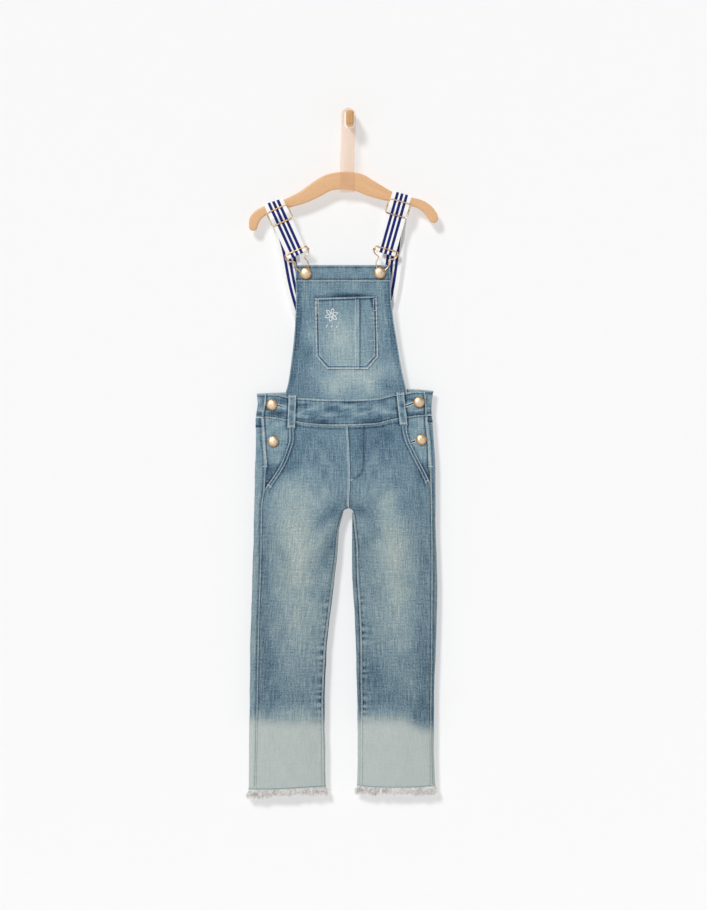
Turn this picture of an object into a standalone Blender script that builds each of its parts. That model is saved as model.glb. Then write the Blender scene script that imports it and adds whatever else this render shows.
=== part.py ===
"""Child's cropped denim dungarees on a wooden hanger, which hangs by a clear strap on a wall peg.

Sizes below are in millimetres and become metres when a mesh is made. The origin is the middle of the peg's
wall face, the wall is the plane y = 0, and the front of the garment faces -Y. Left and right are the wearer's,
so the wearer's left is +X.
"""

import bisect
import functools
import math
import random

import bmesh
import bpy
from mathutils import Matrix, Vector

MM = 0.001
QUARTER = math.pi / 2
SIDES = ("right", "left")
FRONT = Vector((0.0, -1.0, 0.0))

# Cloth and seams
DENIM = 1.2
BAND = 1.8
SEAM = 0.3
BAND_SEAM = 0.8
LAYER = 0.5
UNDER = DENIM + LAYER
MIDDLE = -16.0
FOLD = 4.5
ARC = FOLD * QUARTER

# Heights of the trousers
PANEL_TOP = -450.0
RISE_START = -500.0
BOTTOM_START = -556.0
CROTCH = -586.0
THIGH = -650.0
POCKET_END = {"right": -556.0, "left": -549.0}
OPENING_END = -521.0
HEM = {"right": -1007.0, "left": -1004.0}

# Bib
BIB_TOP = -219.8
BIB_BOTTOM = -431.0
BIB_HEM = 24.7
BIB_FACE = -20.6
POCKET_TOP = -268.2
POCKET_CORNER = -357.0
POCKET_FOOT = -375.6
POCKET_MIDDLE = -6.2
POCKET_HALF = 46.4
POCKET_CHAMFER = 15.8

# Webbing and wire
WEB_WIDTH = 30.0
WEB = 1.2
BRACE_FOOT = -11.0
HANGER_FRONT = -24.0
HANGER_BACK = -12.0
HANGER_EDGE = 2.5
SLIDER_PLANE = -26.7
SLIDER_WIRE = 0.9
SLIDER_BARS = (12.6, 23.5, 34.4)
SLIDER_HALF = 17.0
CLIP_PLANE = -23.4
CLIP_WIRE = 1.0
CLIP_BAR = 5.2
CLIP_REACH = 37.4
CLIP_END = 18.0

# Strips at the side opening, how far they run past their edge
PLACKET_UNDER = 4.0
PLACKET_OVER = 17.0
FACING_OVER = 10.0

# Buttons and frayed hems
SHANK = 2.6
STEM = 1.0
FRINGE_LOCKS = 56
FRINGE_STRIP = 2.2
FRINGE_FALL = 10.5

# Strap that holds the hanger, and the peg
LOOP = 1.0
LOOP_TURNS = (79.7, 109.4)
LOOP_ENDS = (-18.8, -17.2)
LOOP_MIDDLE = -2.1
LOOP_DRIFT = -2.0
LOOP_HALF = 10.65
LOOP_TOP = 16.4
SLOT_HALF = 7.7
SLOT_TOP = 11.3
SLOT_BOTTOM = -14.3
SLOT_CORNER = 5.0
SLOT_MIDDLE = -0.6
PEG_HALF = 6.0
PEG_TALL = 22.0
PEG_LONG = 45.0


def table(columns, *rows):
    """Rows of numbers under named columns, in rising order of the first."""
    names = columns.split()
    return {name: [row[i] for row in sorted(rows)] for i, name in enumerate(names)}


def read(sheet, column, at):
    """A column's value between rows, on a smooth curve that never overshoots them."""
    keys, values = sheet[next(iter(sheet))], sheet[column]
    at = min(max(at, keys[0]), keys[-1])
    i = min(bisect.bisect_right(keys, at), len(keys) - 1) - 1
    rises = [(b - a) / (q - p) for p, q, a, b in zip(keys, keys[1:], values, values[1:])]
    inner = [0.0 if p * q <= 0 else 2 * p * q / (p + q) for p, q in zip(rises, rises[1:])]
    slopes = [rises[0], *inner, rises[-1]]
    step = keys[i + 1] - keys[i]
    t = (at - keys[i]) / step
    start, end = values[i], values[i + 1]
    bend = (2 * t**3 - 3 * t**2 + 1) * start + (3 * t**2 - 2 * t**3) * end
    return bend + step * ((t**3 - 2 * t**2 + t) * slopes[i] + (t**3 - t**2) * slopes[i + 1])


# Edges of the laid-out trousers: x at a height z, for each side
OUTER = table(
    "z right left",
    (-405, -141.5, 127.5), (-413, -140.4, 125.0), (-425, -139.2, 123.4), (-445, -141.6, 123.3),
    (-473, -141.2, 125.0), (-524, -142.5, 128.0), (-614, -144.5, 128.7), (-704, -147.0, 131.0),
    (-812, -150.0, 128.2), (-866, -150.4, 126.2), (-932, -151.5, 126.3), (-1010, -152.0, 127.8),
)
CENTRE = table("z x", (-405, -4.5), (-458, -4.0), (-500, -1.5), (-540, -0.5), (-575, -2.0), (-586, -2.4))
INNER = table(
    "z right left",
    (-586.0, -2.5, -2.3), (-586.4, -6.0, 1.2), (-587.2, -9.0, 4.0), (-590, -10.4, 4.4), (-596, -12.4, 4.0),
    (-605, -14.7, 3.4), (-616, -16.7, 3.0), (-650, -19.0, 2.9), (-686, -22.8, 3.3), (-722, -27.0, 5.4),
    (-758, -31.2, 7.5), (-794, -34.8, 9.0), (-842, -36.9, 10.1), (-884, -38.0, 11.0), (-962, -37.2, 11.5),
    (-1010, -36.2, 10.4),
)
DEPTH = table(
    "z front back",
    (-405, 9.2, 8.0), (-450, 9.6, 8.2), (-500, 10.6, 8.6), (-560, 10.8, 9.0), (-620, 9.6, 8.6), (-1010, 9.0, 8.0),
)

# The side seam and the placket edge above it lie on the front face
SIDE_SEAM = table(
    "z right left",
    (-405, -127.9, 111.2), (-423, -128.2, 114.2), (-436, -130.5, 115.1), (-448, -132.0, 115.2),
    (-465, -130.8, 116.2), (-490, -129.3, 119.0), (-527, -126.6, 120.2), (-556, -128.2, 120.8),
    (-584, -131.6, 121.4), (-662, -132.8, 122.1), (-752, -135.8, 121.8), (-902, -138.8, 120.3), (-1010, -141.0, 121.2),
)
POCKET_EDGE = table(
    "z right left",
    (-446, -95.6, 85.6), (-464, -91.6, 85.4), (-480, -91.2, 88.4), (-498, -96.0, 96.2), (-518, -103.8, 106.4),
    (-538, -115.8, 116.4), (-549, -123.4, 120.5), (-556, -128.1, 120.7),
)
# How far the inseam lies round the inner fold onto the front face
INSEAM = table(
    "z right left",
    (-586, 0.0, 0.0), (-590, 1.6, 3.0), (-600, 3.0, 6.5), (-620, 4.5, 9.5), (-650, 5.6, 12.0), (-716, 6.5, 12.6),
    (-902, 7.6, 10.3), (-1010, 7.6, 9.8),
)

# Waistband edges and the yoke seam: z at a place x
BAND_FRONT = table(
    "x top bottom",
    (-134, -413.0, -448.4), (-112, -413.4, -450.4), (-92, -417.4, -454.2), (-62, -420.2, -459.2),
    (-30, -421.6, -461.2), (0, -421.8, -460.8), (38, -420.0, -459.2), (66, -414.0, -452.6), (88, -410.8, -449.4),
    (99, -409.2, -447.8), (116, -410.2, -446.4),
)
BAND_BACK = table(
    "x top bottom",
    (-142, -412.6, -448.0), (-118, -411.4, -448.6), (90, -405.8, -445.6), (126, -408.6, -444.6),
)
YOKE = {"right": -465.0, "left": -457.5}
YOKE_CENTRE = -493.5
YOKE_WARP = 90.0

# Bib side edges
BIB = table(
    "z right left",
    (-219, -81.9, 60.0), (-272, -81.1, 62.0), (-302, -82.0, 65.4), (-326, -83.7, 69.0), (-344, -85.5, 72.0),
    (-362, -87.8, 75.0), (-380, -90.0, 78.4), (-398, -93.0, 82.5), (-414, -97.2, 86.0), (-432, -99.5, 87.5),
)

# Broad folds pressed into the cloth: a soft trough or ridge on the front or back face between two points
FOLDS = (
    # side, face, from x, from z, to x, to z, half width, height
    ("right", "front", -30.0, -560.0, -112.0, -600.0, 15.0, -1.2),
    ("right", "front", -26.0, -600.0, -86.0, -672.0, 17.0, 1.0),
    ("right", "front", -104.0, -690.0, -52.0, -742.0, 18.0, -1.1),
    ("right", "front", -60.0, -790.0, -126.0, -840.0, 20.0, 0.9),
    ("right", "front", -66.0, -870.0, -70.0, -980.0, 20.0, 1.1),
    ("left", "front", 24.0, -560.0, 96.0, -604.0, 15.0, -1.2),
    ("left", "front", 20.0, -604.0, 74.0, -676.0, 17.0, 1.0),
    ("left", "front", 92.0, -706.0, 40.0, -752.0, 18.0, -1.1),
    ("left", "front", 48.0, -806.0, 104.0, -850.0, 20.0, 0.9),
    ("left", "front", 70.0, -876.0, 66.0, -986.0, 20.0, 1.0),
    ("right", "back", -28.0, -556.0, -108.0, -590.0, 17.0, -1.3),
    ("right", "back", -60.0, -680.0, -116.0, -726.0, 19.0, -1.0),
    ("left", "back", 22.0, -556.0, 94.0, -592.0, 17.0, -1.3),
    ("left", "back", 50.0, -690.0, 104.0, -734.0, 19.0, -1.0),
)

# Braces: the webbing's fold over the hanger, the lean of its front run and how the back run strays in x as it drops
BRACES = {
    "right": {"x": -115.2, "z": -124.4, "fold": 17.5, "lean": 24.4, "length": 118.75},
    "left": {"x": 78.5, "z": -112.5, "fold": -15.5, "lean": -15.8, "length": 124.1},
}
BACK_RUN = {
    "right": table("drop x", (0, -115.2), (66, -94.5), (123, -83.5), (166, -71.5), (312, -19.0)),
    "left": table("drop x", (0, 78.5), (44, 69.0), (85, 65.0), (145, 56.5), (186, 45.0), (324, 9.5)),
}

# One half of a clip: across and down from the middle of its top bar
CLIP = table(
    "step across down",
    (0, 0.0, 0.0), (1, 15.5, 0.0), (2, 17.5, 1.3), (3, 18.2, 4.6), (4, 17.2, 8.5), (5, 14.4, 11.6), (6, 10.6, 13.2),
    (7, 8.5, 15.4), (8, 9.0, 18.6), (9, 9.8, 22.2), (10, 9.0, 26.2), (11, 6.9, 30.4), (12, 4.9, 34.6), (13, 4.2, 38.2),
    (14, 2.6, 40.8), (15, 0.0, 41.7),
)

# Hanger: its middle line, and how tall it is there
HANGER = table(
    "x z tall",
    (-145.2, -162.5, 12.6), (-143.6, -153.5, 15.0), (-138.6, -145.6, 14.8), (-129.0, -139.0, 13.3), (-115.2, -132.8, 13.0),
    (-97.5, -128.2, 13.4), (-72.8, -119.0, 18.3), (-54.0, -108.5, 23.0), (-36.8, -98.4, 24.6), (-23.2, -94.2, 25.4),
    (-4.5, -93.2, 27.0), (14.2, -96.4, 27.0), (28.8, -103.6, 24.6), (48.0, -112.0, 19.5), (66.0, -118.6, 13.4),
    (78.5, -121.1, 13.6), (90.8, -124.6, 12.6), (103.2, -127.9, 13.6), (114.4, -134.4, 14.9), (122.6, -144.2, 15.6),
    (125.6, -150.6, 13.4),
)

BUTTONS = {
    "waist_right": (-117.0, -429.6, 8.1),
    "waist_left": (103.6, -425.6, 8.1),
    "side_right": (-115.2, -484.5, 8.1),
    "side_left": (107.1, -481.8, 8.1),
}
BIB_BUTTON = 8.65


def clear_scene():
    for item in list(bpy.data.objects):
        bpy.data.objects.remove(item)


def collection(name):
    made = bpy.data.collections.new(name)
    bpy.context.scene.collection.children.link(made)
    return made


def finish(name, red, green, blue, rough, metal=0.0):
    """A plain material with the part's own colour."""
    made = bpy.data.materials.new(name)
    made.use_nodes = True
    shader = made.node_tree.nodes["Principled BSDF"]
    shader.inputs["Base Color"].default_value = (red, green, blue, 1.0)
    shader.inputs["Roughness"].default_value = rough
    shader.inputs["Metallic"].default_value = metal
    return made


def smooth(t):
    t = min(max(t, 0.0), 1.0)
    return t * t * (3 - 2 * t)


def mix(a, b, t):
    return a + (b - a) * t


def spread(start, end, count):
    """Evenly spaced values, both ends included."""
    return [mix(start, end, i / (count - 1)) for i in range(count)]


def fold(run, start=0.0):
    """How far in from a fold's edge a point lies after a run along the cloth, and its share of the full depth."""
    span = max(QUARTER - start, 1e-4)
    start = QUARTER - span
    radius = ARC / span
    turn = start + span * min(run / ARC, 1.0)
    return radius * (math.cos(start) - math.cos(turn)) + max(run - ARC, 0.0), math.sin(turn)


def unfold(distance, start=0.0):
    """The run along the cloth from a fold's edge to a point that far in."""
    span = max(QUARTER - start, 1e-4)
    start = QUARTER - span
    radius = ARC / span
    covered = radius * math.cos(start)
    if distance >= covered:
        return ARC + distance - covered
    return ARC * (math.acos(math.cos(start) - distance / radius) - start) / span


@functools.lru_cache(maxsize=None)
def section(side, z):
    """One trouser half at a height: its edges, the slope at its inner edge and its run from edge to edge."""
    sign = 1.0 if side == "left" else -1.0
    inner = read(CENTRE, "x", z) + sign * SEAM / 2 if z > CROTCH else read(INNER, side, z)
    outer = read(OUTER, side, z)
    start = math.acos(min(max((BOTTOM_START - z) / (BOTTOM_START - CROTCH), 0.0), 1.0))
    covered = ARC / max(QUARTER - start, 1e-4) * math.cos(min(start, QUARTER - 1e-4))
    length = abs(outer - inner) - covered - FOLD + 2 * ARC
    openness = 1 - smooth((RISE_START - z) / (RISE_START - THIGH))
    return {"sign": sign, "inner": inner, "width": abs(outer - inner), "start": start, "length": length,
            "open": openness, "front": read(DEPTH, "front", z), "back": read(DEPTH, "back", z)}


def pressed(side, face, x, z):
    """Height of the broad folds at a point."""
    total = 0.0
    for fold_side, fold_face, x0, z0, x1, z1, half, height in FOLDS:
        if (fold_side, fold_face) != (side, face):
            continue
        along = ((x - x0) * (x1 - x0) + (z - z0) * (z1 - z0)) / ((x1 - x0) ** 2 + (z1 - z0) ** 2)
        along = min(max(along, 0.0), 1.0)
        away = math.hypot(x - mix(x0, x1, along), z - mix(z0, z1, along))
        total += height * smooth(1 - away / (half * 2)) * math.sin(math.pi * mix(0.15, 0.85, along))
    return total


def skin(side, k, z):
    """Outer face of the trousers. k runs 0 to 1 across the front, from the inner edge to the outer fold, and 1 to 2
    back across the back; beyond 2 it comes round the inner fold onto the front again."""
    cut = section(side, z)
    k = k % 2.0 if z < CROTCH else min(max(k, 0.0), 2.0)
    face = "front" if k <= 1.0 else "back"
    run = (k if face == "front" else 2.0 - k) * cut["length"]
    from_inner, inner_share = fold(run, cut["start"])
    from_outer, outer_share = fold(cut["length"] - run)
    across = from_inner if run < cut["length"] / 2 else cut["width"] - from_outer
    share = max(1 - across / cut["width"], 0.0)
    full = max(math.sin(math.pi * (1 - cut["open"] / 2) * share), 0.0) ** 0.7
    x = cut["inner"] + cut["sign"] * across
    out = (FOLD + (cut[face] - FOLD) * full + pressed(side, face, x, z) * full) * inner_share * outer_share
    return Vector((x, MIDDLE - out if face == "front" else MIDDLE + out, z))


def spot(side, k, z, inward=0.0):
    """A point that far inside the trousers' outer face."""
    small_k, small_z = 0.002, 0.3
    across = skin(side, k + small_k, z) - skin(side, k - small_k, z)
    up = skin(side, k, z + small_z) - skin(side, k, z - small_z)
    out = across.cross(up).normalized() * (1.0 if side == "left" else -1.0)
    return skin(side, k, z) - out * inward


def k_at(side, x, z):
    """The place k on the front face that lies at x."""
    cut = section(side, z)
    distance = max((x - cut["inner"]) * cut["sign"], 0.0)
    if distance < cut["width"] / 2:
        return unfold(distance, cut["start"]) / cut["length"]
    return 1.0 - unfold(max(cut["width"] - distance, 0.0)) / cut["length"]


def front_spot(x, z, inward=0.0):
    """A point on or inside the front, at x, of whichever side that is."""
    side = "left" if x > read(CENTRE, "x", z) else "right"
    return spot(side, k_at(side, x, z), z, inward)


def back_spot(x, z, inward=0.0):
    side = "left" if x > read(CENTRE, "x", z) else "right"
    return spot(side, 2.0 - k_at(side, x, z), z, inward)


def build(name, points, faces, material, where):
    """A mesh object from points in millimetres."""
    mesh = bpy.data.meshes.new(name)
    mesh.from_pydata([tuple(p * MM for p in point) for point in points], [], faces)
    shape = bmesh.new()
    shape.from_mesh(mesh)
    bmesh.ops.recalc_face_normals(shape, faces=shape.faces)
    shape.to_mesh(mesh)
    shape.free()
    mesh.shade_smooth()
    mesh.set_sharp_from_angle(angle=math.radians(40))
    mesh.materials.append(material)
    made = bpy.data.objects.new(name, mesh)
    where.objects.link(made)
    return made


def wall(name, outer, inner, material, where):
    """A cloth wall between two grids of points, rows by columns, closed round its edge."""
    rows, columns = len(outer), len(outer[0])
    points = [point for grid in (outer, inner) for row in grid for point in row]
    shift = rows * columns
    faces = []
    for r in range(rows - 1):
        for c in range(columns - 1):
            a, b = r * columns + c, (r + 1) * columns + c
            faces.append((a, a + 1, b + 1, b))
            faces.append((a + shift, b + shift, b + 1 + shift, a + 1 + shift))
    rim = list(range(columns))
    rim += [r * columns + columns - 1 for r in range(1, rows)]
    rim += [(rows - 1) * columns + c for c in range(columns - 2, -1, -1)]
    rim += [r * columns for r in range(rows - 2, 0, -1)]
    for a, b in zip(rim, rim[1:] + rim[:1]):
        faces.append((a, b, b + shift, a + shift))
    return build(name, points, faces, material, where)


def loft(name, rings, material, where):
    """A solid through closed rings with the same number of points."""
    count = len(rings[0])
    faces = [tuple(range(count)), tuple(len(rings) * count - 1 - i for i in range(count))]
    for r in range(len(rings) - 1):
        for i in range(count):
            j = (i + 1) % count
            faces.append((r * count + i, r * count + j, (r + 1) * count + j, (r + 1) * count + i))
    return build(name, [point for ring in rings for point in ring], faces, material, where)


def hem_z(side, k):
    """The hem climbs a little to the inside of each leg."""
    along = abs(k % 2.0 - 1.0) if k % 2.0 > 1.0 else 1.0 - k % 2.0
    rise = 4.2 * smooth(along * 1.3 - 0.3) if side == "right" else 3.6 * abs(2 * along - 1) ** 3
    return HEM[side] + rise


def front_edge(side, z):
    """Outer edge of a trouser front: the slanted pocket edge above, the side seam below."""
    return read(POCKET_EDGE, side, z) if z > POCKET_END[side] else read(SIDE_SEAM, side, z)


def toward_centre(side, amount):
    return amount if side == "right" else -amount


def facing_level(side, x, z):
    """How far the hip facing lies inside: level with the cloth at the placket, one layer under at the pocket edge."""
    seam = read(SIDE_SEAM, side, z)
    across = toward_centre(side, x - seam)
    wide = toward_centre(side, front_edge(side, z) - seam)
    at_seam = UNDER * smooth((-525.0 - z) / 20.0)
    return mix(at_seam, UNDER, smooth(across / max(wide - 2.0, 2.0)))


def hung(x, z):
    """The height of a front row at x: the rows near the top follow the waistband's lower edge."""
    top = read(BAND_FRONT, "bottom", x) - BAND_SEAM
    return z + (top - PANEL_TOP) * smooth((z + 520.0) / 70.0)


def trouser_front(side, material, where):
    heights = [PANEL_TOP, -464, -480, -498, -518, -534, -546, -556, -566, -575, -581, -584.6, -586, -586.5,
               -587.4, -590.5, -597, -608, -626, -655, -690, -725, -765, -810, -860, -910, -960, HEM[side]]
    columns = 9
    outer, inner = [], []
    for z in heights:
        grid_row = []
        for share in spread(0.0, 1.0, columns):
            height = z
            for _ in range(3):
                cut = section(side, height)
                k_start = (read(INSEAM, side, height) + SEAM / 2) / cut["length"]
                k_end = k_at(side, front_edge(side, height), height) - SEAM / 2 / cut["length"]
                k = mix(k_start, k_end, share)
                low = (hem_z(side, k) - HEM[side]) * smooth((-900.0 - z) / (-900.0 - HEM[side]))
                height = hung(skin(side, k, height).x, z) + low
            grid_row.append((k, height))
        outer.append([spot(side, k, height) for k, height in grid_row])
        inner.append([spot(side, k, height, DENIM) for k, height in grid_row])
    return wall(f"front_{side}", outer, inner, material, where)


def yoke_z(side, k):
    return mix(YOKE[side], YOKE_CENTRE, smooth(max(k - 1.0, 0.0)))


def back_columns(side, z):
    """Places k across a back: round the outer fold, across, and round the inner fold to the inseam."""
    cut = section(side, z)
    turn = ARC / cut["length"]
    start = k_at(side, read(SIDE_SEAM, side, z), z) + SEAM / 2 / cut["length"]
    end = 2.0 + (read(INSEAM, side, z) - SEAM / 2) / cut["length"]
    return (spread(start, 1.0, 4)[:-1] + spread(1.0, 1.0 + turn, 3)[:-1]
            + spread(1.0 + turn, 2.0 - turn, 6)[:-1] + spread(2.0 - turn, end, 5))


def trouser_back(side, material, where):
    heights = [-470, -486, -503, -522, -542, -556, -566, -575, -581, -584.6, -586, -586.5, -587.4, -590.5,
               -597, -608, -626, -655, -690, -725, -765, -810, -860, -910, -960, HEM[side]]
    outer, inner = [], []
    for z in heights:
        grid_row = []
        for column, k in enumerate(back_columns(side, z)):
            for _ in range(3):
                low = (hem_z(side, k) - HEM[side]) * smooth((-900.0 - z) / (-900.0 - HEM[side]))
                high = (yoke_z(side, k) - SEAM / 2 - heights[0]) * (1 - smooth((heights[0] - z) / YOKE_WARP))
                height = z + high + low
                k = back_columns(side, height)[column]
            grid_row.append((k, height))
        outer.append([spot(side, k, height) for k, height in grid_row])
        inner.append([spot(side, k, height, DENIM) for k, height in grid_row])
    return wall(f"back_{side}", outer, inner, material, where)


def yoke(side, material, where):
    outer, inner = [], []
    for share in spread(0.0, 1.0, 4):
        row = []
        for column, k in enumerate(back_columns(side, PANEL_TOP)):
            x = skin(side, k, PANEL_TOP).x
            top = read(BAND_BACK, "bottom", x) - BAND_SEAM
            if k < 1.0:
                top = min(top, read(BAND_FRONT, "bottom", x) - BAND_SEAM)
            z = mix(top, yoke_z(side, k) + SEAM / 2, share)
            row.append((back_columns(side, z)[column], z))
        outer.append([spot(side, k, z) for k, z in row])
        inner.append([spot(side, k, z, DENIM) for k, z in row])
    return wall(f"yoke_{side}", outer, inner, material, where)


def facing(side, material, where):
    """Hip pocket facing: shows between the slanted pocket edge and the side opening, and runs on under the front."""
    outer, inner = [], []
    for height in (PANEL_TOP, -464, -480, -496, -512, -526, -538, -548, -556, -564):
        row = []
        for share in spread(0.0, 1.0, 7):
            x, z = read(SIDE_SEAM, side, height), height
            for _ in range(3):
                z = hung(x, height)
                seam = read(SIDE_SEAM, side, z) + toward_centre(side, SEAM / 2)
                x = mix(seam, read(POCKET_EDGE, side, z) + toward_centre(side, FACING_OVER), share)
            row.append((x, z))
        outer.append([front_spot(x, z, facing_level(side, x, z)) for x, z in row])
        inner.append([front_spot(x, z, facing_level(side, x, z) + DENIM) for x, z in row])
    return wall(f"facing_{side}", outer, inner, material, where)


def placket(side, material, where):
    """Button strip under the side opening."""
    outer, inner = [], []
    top = min(read(BAND_BACK, "bottom", read(SIDE_SEAM, side, -448.0)), -448.0) - 3.0
    for z in spread(top, OPENING_END, 7):
        seam = read(SIDE_SEAM, side, z)
        row = spread(seam - toward_centre(side, PLACKET_UNDER), seam + toward_centre(side, PLACKET_OVER), 6)
        levels = [UNDER + (facing_level(side, x, z) if toward_centre(side, x - seam) > 0 else 0.0) for x in row]
        outer.append([front_spot(x, z, level) for x, level in zip(row, levels)])
        inner.append([front_spot(x, z, level + DENIM) for x, level in zip(row, levels)])
    return wall(f"placket_{side}", outer, inner, material, where)


def band_front(material, where):
    outer, inner = [], []
    centre = read(CENTRE, "x", -440.0)
    for share in spread(0.0, 1.0, 4):
        row = []
        for at in (*spread(-1.0, 0.0, 11), *spread(0.0, 1.0, 11)[1:]):
            side = "right" if at < 0 else "left"
            x = mix(centre, read(SIDE_SEAM, side, -430.0), abs(at))
            z = mix(read(BAND_FRONT, "top", x), read(BAND_FRONT, "bottom", x), share)
            edge = read(SIDE_SEAM, side, z)
            row.append((mix(centre, edge, abs(at)) + 0.2 * (at == 0.0), z))
        outer.append([front_spot(x, z) for x, z in row])
        inner.append([front_spot(x, z, BAND) for x, z in row])
    return wall("waistband_front", outer, inner, material, where)


def band_back(material, where):
    """Runs right round the back and both side folds, and tucks under the ends of the front waistband."""
    outer, inner = [], []
    reach = 24.0
    for share in spread(0.0, 1.0, 4):
        row = []
        for side in SIDES:
            z = -430.0
            cut = section(side, z)
            turn = ARC / cut["length"]
            seam = k_at(side, read(SIDE_SEAM, side, z), z)
            start = k_at(side, read(SIDE_SEAM, side, z) + toward_centre(side, reach), z)
            places = (spread(start, seam, 4)[:-1] + spread(seam, 1.0, 4)[:-1]
                      + spread(1.0, 1.0 + turn, 3)[:-1] + spread(1.0 + turn, 2.0, 7))
            part = []
            for k in places:
                x = skin(side, k, z).x
                top, bottom = read(BAND_BACK, "top", x), read(BAND_BACK, "bottom", x)
                tucked = smooth((1.05 - k) / (1.05 - seam - 0.012))
                height = mix(top - 2.0 * tucked, bottom + 0.5 * tucked, share)
                part.append((side, k, height, tucked * (BAND + LAYER)))
            row += part if side == "right" else part[-2::-1]
        outer.append([spot(side, k, z, level) for side, k, z, level in row])
        inner.append([spot(side, k, z, level + BAND) for side, k, z, level in row])
    return wall("waistband_back", outer, inner, material, where)


def bib_spot(across, z, inward=0.0):
    """A point on the bib, 0 at its right edge to 1 at its left; its foot goes inside the waistband."""
    x = mix(read(BIB, "right", z), read(BIB, "left", z), across)
    tucked = front_spot(x, min(z, -408.0), BAND + LAYER).y
    flat = BIB_FACE - 0.9 * math.sin(math.pi * across) * smooth((BIB_TOP - BIB_HEM - z) / 50.0)
    y = mix(flat, tucked, smooth((-290.0 - z) / 116.0))
    return Vector((x, y + inward, z))


def bib(material, where):
    heights = spread(BIB_TOP, BIB_BOTTOM, 13)
    grids = [[[bib_spot(a, z, inward) for a in spread(0.0, 1.0, 10)] for z in heights] for inward in (0.0, DENIM)]
    return wall("bib", *grids, material, where)


def bib_hem(material, where):
    """The folded hem across the bib's top."""
    lift = DENIM + SEAM
    heights = spread(BIB_TOP, BIB_TOP - BIB_HEM, 3)
    grids = [[[bib_spot(a, z, inward - lift) for a in spread(0.0, 1.0, 10)] for z in heights]
             for inward in (0.0, DENIM)]
    return wall("bib_hem", *grids, material, where)


def pocket_spot(across, z, inward=0.0):
    """A point on the patch pocket, -1 to 1 across it; its mouth gapes a little."""
    half = POCKET_HALF - POCKET_CHAMFER * max(0.0, (POCKET_CORNER - z) / (POCKET_CORNER - POCKET_FOOT))
    x = POCKET_MIDDLE + (z - POCKET_TOP) * -0.022 + half * across
    edges = read(BIB, "right", z), read(BIB, "left", z)
    gape = 1.6 * smooth((z - POCKET_TOP + 34.0) / 34.0) * (1 - across * across)
    return bib_spot((x - edges[0]) / (edges[1] - edges[0]), z, inward - DENIM - SEAM - gape)


def bib_pocket(material, where):
    grids = []
    for inward in (0.0, DENIM):
        rows = []
        for z in (*spread(POCKET_TOP, POCKET_CORNER, 6), *spread(POCKET_CORNER, POCKET_FOOT, 3)[1:]):
            tilt = 1.6 * smooth((z - POCKET_CORNER) / (POCKET_TOP - POCKET_CORNER))
            rows.append([pocket_spot(a, z + tilt * a, inward) for a in spread(-1.0, 1.0, 8)])
        grids.append(rows)
    return wall("bib_pocket", *grids, material, where)


LOOPS = {
    "belt_loop_front_right": (front_spot, -86.2, -88.0, -414.6, -464.5),
    "belt_loop_front_left": (front_spot, 75.0, 80.4, -410.6, -460.0),
    "belt_loop_back_right": (back_spot, -62.0, -62.0, -408.4, -455.6),
    "belt_loop_back_left": (back_spot, 52.0, 52.0, -405.4, -453.0),
}


def belt_loop(name, material, where):
    """A strip over the waistband, bowed out a little at its middle."""
    place, top_x, foot_x, top_z, foot_z = LOOPS[name]
    grids = []
    for inward in (0.0, DENIM):
        rows = []
        for share in spread(0.0, 1.0, 7):
            x, z = mix(top_x, foot_x, share), mix(top_z, foot_z, share)
            lift = DENIM + LAYER + 0.9 * math.sin(math.pi * share)
            rows.append([place(x + across, z, inward - lift) for across in (-5.75, 0.0, 5.75)])
        grids.append(rows)
    return wall(name, *grids, material, where)


def threaded(start, stops, end=None, last_turn=None):
    """Middle line of a band led round bars. Places are (along, depth); each stop adds a radius, negative where the
    band turns left round it. Gives (along, depth, direction) for points on the arcs, joined by straight runs."""
    circles = [(*start, 0.0), *stops] + ([(*end, 0.0)] if end else [])
    headings = []
    for (p0, q0, r0), (p1, q1, r1) in zip(circles, circles[1:]):
        reach = math.hypot(p1 - p0, q1 - q0)
        headings.append(math.atan2(q1 - q0, p1 - p0) - math.asin((r0 - r1) / reach))
    path = [(*start, headings[0])]
    for i, (p, q, radius) in enumerate(circles[1:], 1):
        if radius == 0.0:
            path.append((p, q, headings[-1]))
            continue
        arriving = headings[i - 1]
        leaving = headings[i] if i < len(headings) else arriving + last_turn
        turn = (leaving - arriving + math.pi) % (2 * math.pi) - math.pi
        if radius < 0 and turn < -0.6:
            turn += 2 * math.pi
        steps = max(1, math.ceil(abs(turn) / math.radians(32)))
        for heading in spread(arriving, arriving + turn, steps + 1):
            path.append((p - radius * math.sin(heading), q + radius * math.cos(heading), heading))
    return path


def brace_frame(side, along, back):
    """Where the brace's middle lies that far along its front or back run, and its lean."""
    brace = BRACES[side]
    if back:
        x = read(BACK_RUN[side], "x", along)
        ahead = read(BACK_RUN[side], "x", along + 4.0) - read(BACK_RUN[side], "x", along - 4.0)
        inside = 4.0 < along < BACK_RUN[side]["drop"][-1] - 4.0
        run = math.atan2(ahead, 8.0 if inside else 4.0)
        z = brace["z"] - along
    else:
        run = math.radians(brace["lean"])
        x = brace["x"] + math.sin(run) * along
        z = brace["z"] - math.cos(run) * along
    lean = mix(math.radians(brace["fold"]), run, smooth((along - 4.0) / 7.0))
    return x, z, lean


def brace_point(side, along, depth, across, back=False):
    x, z, lean = brace_frame(side, along, back)
    return Vector((x + across * math.cos(lean), depth, z + across * math.sin(lean)))


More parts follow.
